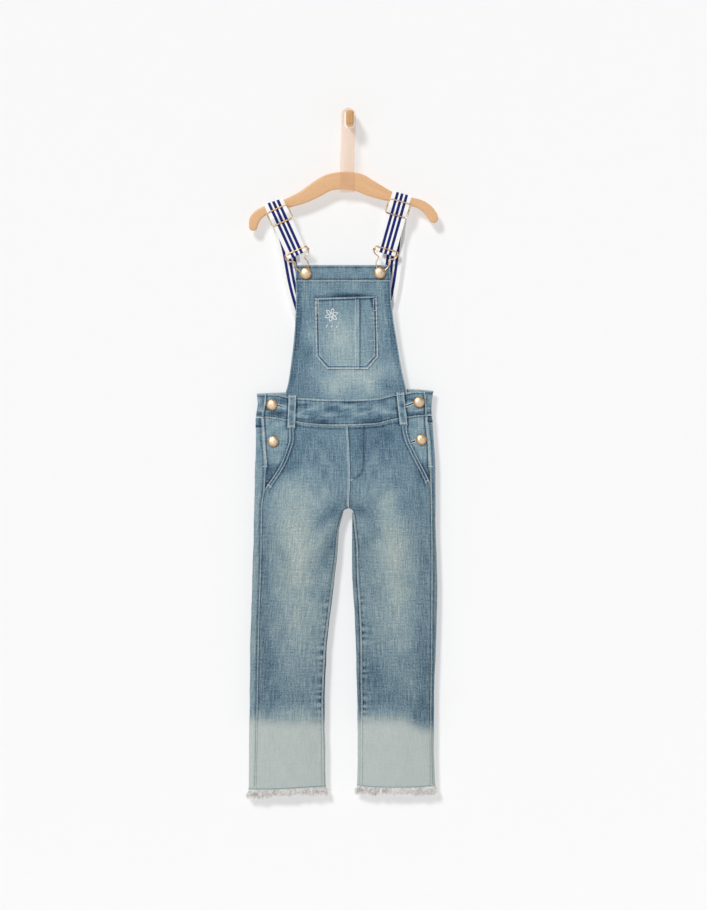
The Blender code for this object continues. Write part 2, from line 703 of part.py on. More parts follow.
def brace_path(side):
    """The webbing's line: up the back, over the hanger, down through the slider, round the clip's bar and back up
    behind itself to the slider's middle bar."""
    bar_end = BRACES[side]["length"] - CLIP_REACH
    corner = HANGER_EDGE + SEAM + WEB / 2
    one = WEB / 2 + SEAM
    two = one + WEB + SEAM
    top, middle, bottom = SLIDER_BARS
    foot = BACK_RUN[side]["drop"][-1]
    stops = [
        (WEB / 2 + corner, HANGER_BACK - HANGER_EDGE, -corner),
        (WEB / 2 + corner, HANGER_FRONT + HANGER_EDGE, -corner),
        (top, SLIDER_PLANE, SLIDER_WIRE + one),
        (middle, SLIDER_PLANE, -(SLIDER_WIRE + two)),
        (bottom, SLIDER_PLANE, SLIDER_WIRE + one),
        (bar_end, CLIP_PLANE, CLIP_WIRE + one),
        (bar_end + CLIP_BAR, CLIP_PLANE, -(CLIP_WIRE + one)),
        (bar_end, CLIP_PLANE, -(CLIP_WIRE + two)),
        (bottom, SLIDER_PLANE, -(SLIDER_WIRE + two)),
        (middle, SLIDER_PLANE, -(SLIDER_WIRE + one)),
    ]
    path = threaded((foot, BRACE_FOOT), stops, last_turn=math.radians(160))
    over = next(i for i, step in enumerate(path) if math.cos(step[2]) > -0.3)
    climb = []
    for along in spread(foot, 20.0, 12)[:-1]:
        share = (foot - along) / (foot - path[1][0])
        climb.append((along, mix(BRACE_FOOT, path[1][1], share), path[0][2], True))
    return climb + [(*step, i < over) for i, step in enumerate(path)][1:]


def strap(side, material, where):
    rings = []
    for along, depth, heading, back in brace_path(side):
        ring = []
        for across, off in ((-1, -1), (1, -1), (1, 1), (-1, 1)):
            p = along - off * WEB / 2 * math.sin(heading)
            q = depth + off * WEB / 2 * math.cos(heading)
            x, z, lean = brace_frame(side, along, back)
            down = p - along
            ring.append(Vector((x + across * WEB_WIDTH / 2 * math.cos(lean) + down * math.sin(lean), q,
                                z + across * WEB_WIDTH / 2 * math.sin(lean) - down * math.cos(lean))))
        rings.append(ring)
    return loft(f"strap_{side}", rings, material, where)


def wire(name, points, radius, material, where, closed=True):
    """A round wire through points, as a mesh with its ends capped."""
    line = bpy.data.curves.new(name, "CURVE")
    line.dimensions = "3D"
    line.bevel_depth = radius * MM
    line.bevel_resolution = 2
    line.use_fill_caps = not closed
    spline = line.splines.new("POLY")
    spline.points.add(len(points) - 1)
    for knot, point in zip(spline.points, points):
        knot.co = (*(point * MM), 1.0)
    spline.use_cyclic_u = closed
    drawn = bpy.data.objects.new(name, line)
    where.objects.link(drawn)
    bpy.context.view_layer.update()
    mesh = bpy.data.meshes.new_from_object(drawn.evaluated_get(bpy.context.evaluated_depsgraph_get()))
    mesh.name = name
    shape = bmesh.new()
    shape.from_mesh(mesh)
    bmesh.ops.remove_doubles(shape, verts=shape.verts, dist=1e-6)
    bmesh.ops.recalc_face_normals(shape, faces=shape.faces)
    shape.to_mesh(mesh)
    shape.free()
    mesh.materials.clear()
    mesh.materials.append(material)
    made = bpy.data.objects.new(name, mesh)
    made.matrix_world = drawn.matrix_world.copy()
    where.objects.link(made)
    bpy.data.objects.remove(drawn)
    made.name = name
    mesh.shade_smooth()
    mesh.set_sharp_from_angle(angle=math.radians(50))
    return made


def join(body, other, guides):
    """Adds another solid to a body."""
    step = body.modifiers.new("joined", "BOOLEAN")
    step.operation = "UNION"
    step.object = other
    guide(other, guides)


def guide(item, guides):
    for home in list(item.users_collection):
        home.objects.unlink(item)
    guides.objects.link(item)
    item.hide_render = True
    item.display_type = "WIRE"


def slider(side, material, where, guides):
    """A wire frame with a middle bar, lying on the webbing."""
    top, middle, bottom = SLIDER_BARS
    corner = 3.2
    points = []
    for across, along, start in ((1, top, 270), (1, bottom, 0), (-1, bottom, 90), (-1, top, 180)):
        for turn in spread(start, start + 90, 5):
            a = math.radians(turn)
            centre_along = along + (corner if along == top else -corner)
            points.append(brace_point(side, centre_along + corner * math.sin(a), SLIDER_PLANE,
                                      across * (SLIDER_HALF - corner) + corner * math.cos(a)))
    body = wire(f"slider_{side}", points, SLIDER_WIRE, material, where)
    bar = [brace_point(side, middle, SLIDER_PLANE, across) for across in (-SLIDER_HALF, SLIDER_HALF)]
    join(body, wire(f"slider_bar_{side}", bar, SLIDER_WIRE * 0.98, material, where, closed=False), guides)
    return body


def clip(side, material, where, guides):
    """A wire clip: a top bar over the webbing, a lower bar inside the webbing's fold, and a keyhole for the button."""
    end = BRACES[side]["length"] - CLIP_REACH
    half = list(zip(CLIP["across"], CLIP["down"]))
    loop = half + [(-across, down) for across, down in half[-2:0:-1]]
    points = [brace_point(side, end + down, CLIP_PLANE, across) for across, down in loop]
    body = wire(f"clip_{side}", points, CLIP_WIRE, material, where)
    bar = [brace_point(side, end + CLIP_BAR, CLIP_PLANE, across) for across in (-CLIP_END, CLIP_END)]
    join(body, wire(f"clip_bar_{side}", bar, CLIP_WIRE * 0.98, material, where, closed=False), guides)
    return body


def button(name, place, out, radius, stem, material, where):
    """A domed cap on a stem, turned about its own axis, which points out of the cloth."""
    profile = [(0.0, 3.5), (0.42, 3.3), (0.74, 2.5), (0.94, 1.3), (1.0, 0.5), (0.95, 0.0)]
    points = [(radius * r, h) for r, h in profile] + [(SHANK, 0.0), (SHANK, -stem), (0.0, -stem)]
    mesh = bpy.data.meshes.new(name)
    mesh.from_pydata([(r * MM, 0.0, h * MM) for r, h in points], [(i, i + 1) for i in range(len(points) - 1)], [])
    mesh.materials.append(material)
    made = bpy.data.objects.new(name, mesh)
    made.matrix_world = Matrix.Translation(place * MM) @ out.to_track_quat("Z", "Y").to_matrix().to_4x4()
    turned = made.modifiers.new("turned", "SCREW")
    turned.steps = turned.render_steps = 14
    turned.use_merge_vertices = True
    turned.merge_threshold = 1e-5
    where.objects.link(made)
    return made


def cloth_button(name, material, where):
    """A button on the front waistband or the hip facing, square to the cloth below it."""
    x, z, radius = BUTTONS[name]
    side = "right" if x < 0 else "left"
    level = facing_level(side, x, z) if z < -460.0 else 0.0
    under = front_spot(x, z, level)
    out = (front_spot(x, z, level - 1.0) - under).normalized()
    return button(f"button_{name}", under + out * (SEAM + STEM), out, radius, STEM, material, where)


def bib_button(side, material, where):
    place = brace_point(side, BRACES[side]["length"], CLIP_PLANE - CLIP_WIRE - SEAM, 0.0)
    return button(f"button_bib_{side}", place, FRONT, BIB_BUTTON, 2.0, material, where)


def fringe(side, material, where):
    """Frayed hem: a narrow strip just under the hem, with a lock of threads hanging from each stretch of it."""
    chance = random.Random(side)
    cut = section(side, HEM[side])
    leg_middle = cut["inner"] + cut["sign"] * cut["width"] / 2
    inseam = read(INSEAM, side, HEM[side]) / cut["length"]
    places = [inseam + 2.0 * i / FRINGE_LOCKS for i in range(FRINGE_LOCKS)]
    rings = [[], [], [], []]
    for k in places:
        top = hem_z(side, k) - SEAM
        foot = top - FRINGE_STRIP
        for ring, z, inward in zip(rings, (top, foot, foot, top), (0.0, 0.0, DENIM, DENIM)):
            point = spot(side, k, HEM["left"], inward)
            ring.append(Vector((point.x, point.y, z)))
    points = [point for ring in rings for point in ring]
    n = FRINGE_LOCKS
    faces = []
    for i in range(n):
        j = (i + 1) % n
        faces.append((i, j, n + j, n + i))
        faces.append((2 * n + i, 2 * n + j, 3 * n + j, 3 * n + i))
        faces.append((3 * n + i, 3 * n + j, j, i))
        roots = [n + i, n + j, 2 * n + j, 2 * n + i]
        middle = sum((points[r] for r in roots), Vector()) / 4
        swing = 1.0 - abs(i - n / 2) / (n / 2)
        flare = Vector((middle.x - leg_middle, 0.0, 0.0)) * 0.055
        fall = FRINGE_FALL * chance.uniform(0.72, 1.08) - 1.0 * swing
        tip = middle + flare + Vector((chance.uniform(-1.5, 1.5), chance.uniform(-1.0, 1.0), -fall))
        first = len(points)
        for root in roots:
            points.append(tip + (points[root] - middle) * 0.28)
        for a in range(4):
            b = (a + 1) % 4
            faces.append((roots[a], roots[b], first + b, first + a))
        faces.append(tuple(first + a for a in range(4)))
    return build(f"fringe_{side}", points, faces, material, where)


def hanger(material, where):
    """A flat wishbone of wood with rounded edges, thinner towards its round tips."""
    xs, zs, tall = HANGER["x"], HANGER["z"], HANGER["tall"]
    last = len(xs) - 1
    middle_y = (HANGER_FRONT + HANGER_BACK) / 2
    half_deep = (HANGER_FRONT - HANGER_BACK) / -2
    rings = []

    def ring(x, z, up, high, deep):
        edge = min(HANGER_EDGE, high / 2.2, deep / 1.2)
        points = []
        for sy, sz, start in ((1, 1, 0), (-1, 1, 90), (-1, -1, 180), (1, -1, 270)):
            for turn in spread(start, start + 90, 3):
                a = math.radians(turn)
                y = sy * (deep - edge) + edge * math.cos(a)
                rise = sz * (high / 2 - edge) + edge * math.sin(a)
                points.append(Vector((x, middle_y + y, z)) + up * rise)
        rings.append(points)

    for i in range(last + 1):
        a, b = max(i - 1, 0), min(i + 1, last)
        line = Vector((xs[b] - xs[a], 0.0, zs[b] - zs[a])).normalized()
        up = Vector((-line.z, 0.0, line.x))
        if i == 0:
            for back, share in ((5.6, 0.38), (4.4, 0.74), (2.2, 0.94)):
                deep = half_deep * mix(0.7, 1.0, share)
                ring(xs[0] - line.x * back, zs[0] - line.z * back, up, tall[0] * share, deep)
        ring(xs[i], zs[i], up, tall[i], half_deep)
        if i == last:
            for ahead, share in ((2.2, 0.94), (4.6, 0.74), (5.9, 0.38)):
                deep = half_deep * mix(0.7, 1.0, share)
                ring(xs[i] + line.x * ahead, zs[i] + line.z * ahead, up, tall[i] * share, deep)
    return loft("hanger", rings, material, where)


def hanger_loop(material, where, guides):
    """A clear band under the hanger's middle, both ends up on the peg through a slot."""
    corner = HANGER_EDGE + SEAM + LOOP / 2
    top, bottom = LOOP_TURNS[0] + HANGER_EDGE, LOOP_TURNS[1] - HANGER_EDGE
    front, back = HANGER_FRONT + HANGER_EDGE, HANGER_BACK - HANGER_EDGE
    stops = [(top, front, -corner), (bottom, front, -corner), (bottom, back, -corner), (top, back, -corner)]
    path = threaded((-LOOP_TOP, LOOP_ENDS[0]), stops, end=(-LOOP_TOP, LOOP_ENDS[1]))
    rows = [(*path[0][:2], path[0][2])]
    for share in (0.02, 0.06, 0.12, 0.16, 0.55):
        rows.append((*(mix(path[0][i], path[1][i], share) for i in (0, 1)), path[0][2]))
    rows += path[1:-1]
    for share in (0.45, 0.84, 0.88, 0.94, 0.98, 1.0):
        rows.append((*(mix(path[-2][i], path[-1][i], share) for i in (0, 1)), path[-1][2]))
    rings = []
    for along, depth, heading in rows:
        rise = max(0.0, LOOP_HALF - (LOOP_TOP + along))
        half = max(math.sqrt(max(LOOP_HALF**2 - rise**2, 0.0)), 2.5)
        middle = LOOP_MIDDLE + LOOP_DRIFT * smooth(along / LOOP_TURNS[0])
        ring = []
        for across, off in ((-1, -1), (1, -1), (1, 1), (-1, 1)):
            p = along - off * LOOP / 2 * math.sin(heading)
            ring.append(Vector((middle + across * half, depth + off * LOOP / 2 * math.cos(heading), -p)))
        rings.append(ring)
    body = loft("hanger_loop", rings, material, where)
    slot = []
    for y in (-30.0, -6.0):
        ring = []
        for sx, end, start in ((1, SLOT_TOP - SLOT_CORNER, 0), (-1, SLOT_TOP - SLOT_CORNER, 90),
                               (-1, SLOT_BOTTOM + SLOT_CORNER, 180), (1, SLOT_BOTTOM + SLOT_CORNER, 270)):
            for turn in spread(start, start + 90, 4):
                a = math.radians(turn)
                x = SLOT_MIDDLE + sx * (SLOT_HALF - SLOT_CORNER) + SLOT_CORNER * math.cos(a)
                ring.append(Vector((x, y, end + SLOT_CORNER * math.sin(a))))
        slot.append(ring)
    cutter = loft("loop_slot", slot, material, guides)
    guide(cutter, guides)
    cut = body.modifiers.new("slot", "BOOLEAN")
    cut.operation = "DIFFERENCE"
    cut.object = cutter
    return body


def wall_peg(material, where):
    """A short upright wooden peg, rounded at the front, flat against the wall."""
    rings = []
    for y, inset in ((0.0, 0.0), (-PEG_LONG + 4.0, 0.0), (-PEG_LONG + 1.2, 0.8), (-PEG_LONG, 3.0)):
        ring = []
        corner = 4.6 - inset / 2
        for sx, sz, start in ((1, 1, 0), (-1, 1, 90), (-1, -1, 180), (1, -1, 270)):
            for turn in spread(start, start + 90, 4):
                a = math.radians(turn)
                x = sx * (PEG_HALF - inset - corner) + corner * math.cos(a)
                z = sz * (PEG_TALL / 2 - inset - corner) + corner * math.sin(a)
                ring.append(Vector((x, y, z)))
        rings.append(ring)
    return loft("wall_peg", rings, material, where)


def main():
    clear_scene()
    where = collection("dungarees_on_hanger")
    guides = collection("guides")
    denim = finish("denim", 0.13, 0.21, 0.29, 0.9)
    fringe_cotton = finish("frayed cotton", 0.55, 0.6, 0.56, 0.95)
    webbing = finish("webbing", 0.75, 0.75, 0.74, 0.85)
    brass = finish("pale brass", 0.78, 0.58, 0.4, 0.35, 1.0)
    beech = finish("beech", 0.72, 0.46, 0.27, 0.5)
    clear = finish("clear elastomer", 0.85, 0.75, 0.74, 0.3)
    for side in SIDES:
        trouser_front(side, denim, where)
        trouser_back(side, denim, where)
        yoke(side, denim, where)
        facing(side, denim, where)
        placket(side, denim, where)
        strap(side, webbing, where)
        slider(side, brass, where, guides)
        clip(side, brass, where, guides)
        bib_button(side, brass, where)
        fringe(side, fringe_cotton, where)
    band_front(denim, where)
    band_back(denim, where)
    bib(denim, where)
    bib_hem(denim, where)
    bib_pocket(denim, where)
    for name in LOOPS:
        belt_loop(name, denim, where)
    for name in BUTTONS:
        cloth_button(name, brass, where)
    hanger(beech, where)
    hanger_loop(clear, where, guides)
    wall_peg(beech, where)


main()
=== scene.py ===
"""Looks of a child's cropped denim dungarees on a wooden hanger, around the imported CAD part.

Sizes below are in millimetres, in the part's frame: the wall is y = 0 and the garment's front faces -Y. They become
metres when a mesh is made. Left and right are the wearer's, so the wearer's left is +X.
"""

import math
import random
from functools import partial

import bpy
import numpy as np
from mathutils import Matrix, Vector


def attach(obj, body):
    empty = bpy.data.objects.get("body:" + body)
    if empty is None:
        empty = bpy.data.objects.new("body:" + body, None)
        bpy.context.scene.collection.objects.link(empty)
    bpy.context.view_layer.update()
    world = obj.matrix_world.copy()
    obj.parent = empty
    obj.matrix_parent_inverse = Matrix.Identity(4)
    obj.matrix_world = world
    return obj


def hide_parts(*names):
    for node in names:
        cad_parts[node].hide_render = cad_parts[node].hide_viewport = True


MM = 0.001
QUARTER = math.pi / 2
SIDES = ("right", "left")

# Cloth and seams, as in the part
DENIM = 1.2
BAND = 1.8
SEAM = 0.3
BAND_SEAM = 0.8
BAND_TALL = 38.0
BAND_LEVEL = -430.0
BAND_ROUND = 130.0
LAYER = 0.5
UNDER = DENIM + LAYER
MIDDLE = -16.0
FOLD = 4.5
ARC = FOLD * QUARTER

# Heights of the trousers
PANEL_TOP = -450.0
RISE_START = -500.0
BOTTOM_START = -556.0
CROTCH = -586.0
THIGH = -650.0
POCKET_END = {"right": -556.0, "left": -549.0}
OPENING_END = -521.0
HEM = {"right": -1007.0, "left": -1004.0}

# Bib
BIB_TOP = -219.8
BIB_BOTTOM = -431.0
BIB_HEM = 24.7
BIB_FACE = -20.6
POCKET_TOP = -268.2
POCKET_CORNER = -357.0
POCKET_FOOT = -375.6
POCKET_MIDDLE = -6.2
POCKET_HALF = 46.4
POCKET_CHAMFER = 15.8
POCKET_LEAN = -0.022
POCKET_TILT = 1.6
BIB_TUCK = -408.0
# The bib pocket's stitched strip runs between these places x
STRIP = (6.6, 14.0)
# A small fold at the pocket's mouth: x, z and its slope
POCKET_FOLD = (31.5, -269.0, 0.26)
# The curved row of the false fly: x, the height where it starts to bend, and how far the bend drops
FLY_ROW = (20.3, -520.0, 20.8)
LOOP_HALF_WIDE = 5.75

# Webbing and wire
WEB_WIDTH = 30.0
WEB = 1.2
BRACE_FOOT = -11.0
HANGER_FRONT = -24.0
HANGER_BACK = -12.0
HANGER_EDGE = 2.5
SLIDER_PLANE = -26.7
SLIDER_WIRE = 0.9
SLIDER_BARS = (12.6, 23.5, 34.4)
SLIDER_HALF = 17.0
CLIP_PLANE = -23.4
CLIP_WIRE = 1.0
CLIP_BAR = 5.2
CLIP_REACH = 37.4
CLIP_END = 18.0
COIL = 1.5

# Strips at the side opening
PLACKET_UNDER = 4.0
PLACKET_OVER = 17.0
FACING_OVER = 10.0

# Buttons, and the strap that holds the hanger
SHANK = 2.6
STEM = 1.0
LOOP = 1.0
LOOP_TURNS = (79.7, 109.4)
LOOP_ENDS = (-18.8, -17.2)
LOOP_MIDDLE = -2.1
LOOP_DRIFT = -2.0
LOOP_HALF = 10.65
LOOP_TOP = 16.4
SLOT_HALF = 7.7
SLOT_TOP = 11.3
SLOT_BOTTOM = -14.3
SLOT_CORNER = 5.0
SLOT_MIDDLE = -0.6
PEG_HALF = 6.0
PEG_TALL = 22.0
PEG_LONG = 45.0


def table(columns, *rows):
    """Rows of numbers under named columns, in rising order of the first."""
    cells = np.array(sorted(rows), float)
    return {name: cells[:, i] for i, name in enumerate(columns.split())}


def read(sheet, column, at):
    """A column's value between rows, on a smooth curve that never overshoots them."""
    keys, values = sheet[next(iter(sheet))], sheet[column]
    at = np.clip(at, keys[0], keys[-1])
    i = np.clip(np.searchsorted(keys, at, side="right"), 1, len(keys) - 1) - 1
    rises = np.diff(values) / np.diff(keys)
    product = rises[:-1] * rises[1:]
    total = np.where(product > 0, rises[:-1] + rises[1:], 1.0)
    slopes = np.concatenate((rises[:1], np.where(product > 0, 2 * product / total, 0.0), rises[-1:]))
    step = keys[i + 1] - keys[i]
    t = (at - keys[i]) / step
    bend = (2 * t**3 - 3 * t**2 + 1) * values[i] + (3 * t**2 - 2 * t**3) * values[i + 1]
    return bend + step * ((t**3 - 2 * t**2 + t) * slopes[i] + (t**3 - t**2) * slopes[i + 1])


OUTER = table(
    "z right left",
    (-405, -141.5, 127.5), (-413, -140.4, 125), (-425, -139.2, 123.4), (-445, -141.6, 123.3),
    (-473, -141.2, 125), (-524, -142.5, 128), (-614, -144.5, 128.7), (-704, -147, 131),
    (-812, -150, 128.2), (-866, -150.4, 126.2), (-932, -151.5, 126.3), (-1010, -152, 127.8),
)
CENTRE = table("z x", (-405, -4.5), (-458, -4.0), (-500, -1.5), (-540, -0.5), (-575, -2.0), (-586, -2.4))
INNER = table(
    "z right left",
    (-586, -2.5, -2.3), (-586.4, -6, 1.2), (-587.2, -9, 4), (-590, -10.4, 4.4), (-596, -12.4, 4),
    (-605, -14.7, 3.4), (-616, -16.7, 3), (-650, -19, 2.9), (-686, -22.8, 3.3), (-722, -27, 5.4),
    (-758, -31.2, 7.5), (-794, -34.8, 9), (-842, -36.9, 10.1), (-884, -38, 11), (-962, -37.2, 11.5),
    (-1010, -36.2, 10.4),
)
DEPTH = table(
    "z front back",
    (-405, 9.2, 8), (-450, 9.6, 8.2), (-500, 10.6, 8.6), (-560, 10.8, 9), (-620, 9.6, 8.6), (-1010, 9, 8),
)
SIDE_SEAM = table(
    "z right left",
    (-405, -127.9, 111.2), (-423, -128.2, 114.2), (-436, -130.5, 115.1), (-448, -132, 115.2),
    (-465, -130.8, 116.2), (-490, -129.3, 119), (-527, -126.6, 120.2), (-556, -128.2, 120.8),
    (-584, -131.6, 121.4), (-662, -132.8, 122.1), (-752, -135.8, 121.8), (-902, -138.8, 120.3), (-1010, -141, 121.2),
)
POCKET_EDGE = table(
    "z right left",
    (-446, -95.6, 85.6), (-464, -91.6, 85.4), (-480, -91.2, 88.4), (-498, -96, 96.2), (-518, -103.8, 106.4),
    (-538, -115.8, 116.4), (-549, -123.4, 120.5), (-556, -128.1, 120.7),
)
INSEAM = table(
    "z right left",
    (-586, 0, 0), (-590, 1.6, 3), (-600, 3, 6.5), (-620, 4.5, 9.5), (-650, 5.6, 12), (-716, 6.5, 12.6),
    (-902, 7.6, 10.3), (-1010, 7.6, 9.8),
)
BAND_FRONT = table(
    "x top bottom",
    (-134, -413, -448.4), (-112, -413.4, -450.4), (-92, -417.4, -454.2), (-62, -420.2, -459.2),
    (-30, -421.6, -461.2), (0, -421.8, -460.8), (38, -420, -459.2), (66, -414, -452.6), (88, -410.8, -449.4),
    (99, -409.2, -447.8), (116, -410.2, -446.4),
)
BAND_BACK = table(
    "x top bottom",
    (-142, -412.6, -448), (-118, -411.4, -448.6), (90, -405.8, -445.6), (126, -408.6, -444.6),
)
YOKE = {"right": -465.0, "left": -457.5}
YOKE_CENTRE = -493.5
YOKE_WARP = 90.0
BIB = table(
    "z right left",
    (-219, -81.9, 60), (-272, -81.1, 62), (-302, -82, 65.4), (-326, -83.7, 69), (-344, -85.5, 72),
    (-362, -87.8, 75), (-380, -90, 78.4), (-398, -93, 82.5), (-414, -97.2, 86), (-432, -99.5, 87.5),
)

# Broad folds, which the part's solids have too, and the creases that only the looks have. Each row runs from x and z
# to x and z, and gives the half width and the height.
FOLDS = {
    ("right", "front"): (
        (-30, -560, -112, -600, 15, -1.2), (-26, -600, -86, -672, 17, 1), (-104, -690, -52, -742, 18, -1.1),
        (-60, -790, -126, -840, 20, 0.9), (-66, -870, -70, -980, 20, 1.1),
    ),
    ("left", "front"): (
        (24, -560, 96, -604, 15, -1.2), (20, -604, 74, -676, 17, 1), (92, -706, 40, -752, 18, -1.1),
        (48, -806, 104, -850, 20, 0.9), (70, -876, 66, -986, 20, 1),
    ),
    ("right", "back"): (
        (-28, -556, -108, -590, 17, -1.3), (-60, -680, -116, -726, 19, -1),
    ),
    ("left", "back"): (
        (22, -556, 94, -592, 17, -1.3), (50, -690, 104, -734, 19, -1),
    ),
}
CREASES = {
    ("right", "front"): (
        (-46, -495, -72, -510, 4.5, 0.6), (-72, -516, -108, -534, 5, -0.7), (-66, -530, -100, -552, 5.5, 0.5),
        (-8, -574, -60, -616, 6.5, -1), (-12, -590, -70, -660, 7, 0.7), (-14, -612, -52, -690, 6, -0.6),
        (-120, -640, -90, -664, 7, -0.5), (-40, -720, -84, -706, 6, -0.5), (-44, -842, -80, -828, 5.5, -0.5),
        (-132, -862, -104, -880, 6, 0.5),
    ),
    ("left", "front"): (
        (2, -580, 38, -597, 5.5, -1.1), (8, -596, 60, -656, 7, 0.7), (16, -642, 54, -618, 6.5, -0.7),
        (40, -496, 76, -520, 4.5, 0.5), (52, -540, 104, -566, 5.5, -0.6), (42, -700, 78, -684, 6.5, -0.5),
        (108, -790, 78, -812, 6.5, -0.5), (28, -868, 62, -852, 5.5, 0.5),
    ),
    ("right", "back"): (
        (-10, -576, -64, -606, 6.5, -1), (-14, -598, -70, -664, 7.5, 0.8), (-118, -560, -76, -574, 6.5, -0.7),
        (-46, -742, -100, -716, 7, -0.8), (-52, -768, -96, -750, 6, 0.6), (-60, -880, -104, -862, 6, -0.5),
    ),
    ("left", "back"): (
        (4, -578, 54, -608, 6.5, -1), (12, -600, 62, -668, 7.5, 0.8), (104, -566, 62, -580, 6.5, -0.7),
        (30, -748, 84, -724, 7, -0.8), (36, -776, 80, -756, 6, 0.6), (44, -872, 88, -892, 6, -0.5),
    ),
}

BRACES = {
    "right": {"x": -115.2, "z": -124.4, "fold": 17.5, "lean": 24.4, "length": 118.75},
    "left": {"x": 78.5, "z": -112.5, "fold": -15.5, "lean": -15.8, "length": 124.1},
}
BACK_RUN = {
    "right": table("drop x", (0, -115.2), (66, -94.5), (123, -83.5), (166, -71.5), (312, -19.0)),
    "left": table("drop x", (0, 78.5), (44, 69.0), (85, 65.0), (145, 56.5), (186, 45.0), (324, 9.5)),
}
CLIP = table(
    "step across down",
    (0, 0, 0), (1, 15.5, 0), (2, 17.5, 1.3), (3, 18.2, 4.6), (4, 17.2, 8.5), (5, 14.4, 11.6), (6, 10.6, 13.2),
    (7, 8.5, 15.4), (8, 9, 18.6), (9, 9.8, 22.2), (10, 9, 26.2), (11, 6.9, 30.4), (12, 4.9, 34.6), (13, 4.2, 38.2),
    (14, 2.6, 40.8), (15, 0, 41.7),
)
HANGER = table(
    "x z tall",
    (-145.2, -162.5, 12.6), (-143.6, -153.5, 15), (-138.6, -145.6, 14.8), (-129, -139, 13.3), (-115.2, -132.8, 13),
    (-97.5, -128.2, 13.4), (-72.8, -119, 18.3), (-54, -108.5, 23), (-36.8, -98.4, 24.6), (-23.2, -94.2, 25.4),
    (-4.5, -93.2, 27), (14.2, -96.4, 27), (28.8, -103.6, 24.6), (48, -112, 19.5), (66, -118.6, 13.4),
    (78.5, -121.1, 13.6), (90.8, -124.6, 12.6), (103.2, -127.9, 13.6), (114.4, -134.4, 14.9), (122.6, -144.2, 15.6),
    (125.6, -150.6, 13.4),
)
BUTTONS = {
    "waist_right": (-117.0, -429.6, 8.1),
    "waist_left": (103.6, -425.6, 8.1),
    "side_right": (-115.2, -484.5, 8.1),
    "side_left": (107.1, -481.8, 8.1),
}
BIB_BUTTON = 8.65

# ---------------------------------------------------------------------------------------------- numbers and shapes


def smooth(t):
    t = np.clip(t, 0.0, 1.0)
    return t * t * (3 - 2 * t)


def mix(a, b, t):
    return a + (b - a) * t


def bell(away, width):
    """1 on a line, and next to nothing at twice that width from it."""
    return np.exp(-((away / width) ** 2))


def grids(*values):
    """Numbers or arrays as arrays of one shape."""
    return np.broadcast_arrays(*(np.asarray(value, float) for value in values))


def unit(v):
    return v / np.maximum(np.linalg.norm(v, axis=-1, keepdims=True), 1e-9)


def waves(u, v, seed, length, count=7):
    """Soft uneven ripples of about unit height, from a few sine waves of nearly that length in millimetres."""
    chance = random.Random(seed)
    total = 0.0
    for _ in range(count):
        angle, pitch, phase = chance.uniform(0, 2 * math.pi), length * chance.uniform(0.7, 1.5), chance.uniform(0, 7)
        total = total + np.sin((u * math.cos(angle) + v * math.sin(angle)) * 2 * math.pi / pitch + phase)
    return total * math.sqrt(2 / count)


def fold(run, start=0.0):
    """How far in from a fold's edge a point lies after a run along the cloth, and its share of the full depth."""
    span = np.maximum(QUARTER - start, 1e-4)
    start = QUARTER - span
    radius = ARC / span
    turn = start + span * np.minimum(run / ARC, 1.0)
    return radius * (np.cos(start) - np.cos(turn)) + np.maximum(run - ARC, 0.0), np.sin(turn)


def unfold(distance, start=0.0):
    """The run along the cloth from a fold's edge to a point that far in."""
    span = np.maximum(QUARTER - start, 1e-4)
    start = QUARTER - span
    radius = ARC / span
    covered = radius * np.cos(start)
    inside = ARC * (np.arccos(np.clip(np.cos(start) - distance / radius, -1, 1)) - start) / span
    return np.where(distance >= covered, ARC + distance - covered, inside)


def section(side, z):
    """One trouser half at a height: its edges, the slope at its inner edge and its run from edge to edge."""
    sign = 1.0 if side == "left" else -1.0
    inner = np.where(z > CROTCH, read(CENTRE, "x", z) + sign * SEAM / 2, read(INNER, side, z))
    width = np.abs(read(OUTER, side, z) - inner)
    start = np.arccos(np.clip((BOTTOM_START - z) / (BOTTOM_START - CROTCH), 0.0, 1.0))
    covered = ARC / np.maximum(QUARTER - start, 1e-4) * np.cos(np.minimum(start, QUARTER - 1e-4))
    return {"sign": sign, "inner": inner, "width": width, "start": start, "length": width - covered - FOLD + 2 * ARC,
            "open": 1 - smooth((RISE_START - z) / (RISE_START - THIGH)),
            "front": read(DEPTH, "front", z), "back": read(DEPTH, "back", z)}


def creased(rows, side, face, x, z):
    """Height of a table's folds at a point, fading out at both ends of each."""
    total = np.zeros(np.broadcast(x, z).shape)
    for x0, z0, x1, z1, half, height in rows[side, face]:
        along = ((x - x0) * (x1 - x0) + (z - z0) * (z1 - z0)) / ((x1 - x0) ** 2 + (z1 - z0) ** 2)
        along = np.clip(along, 0.0, 1.0)
        away = np.hypot(x - mix(x0, x1, along), z - mix(z0, z1, along))
        total += height * smooth(1 - away / (half * 2)) * np.sin(math.pi * mix(0.15, 0.85, along))
    return total


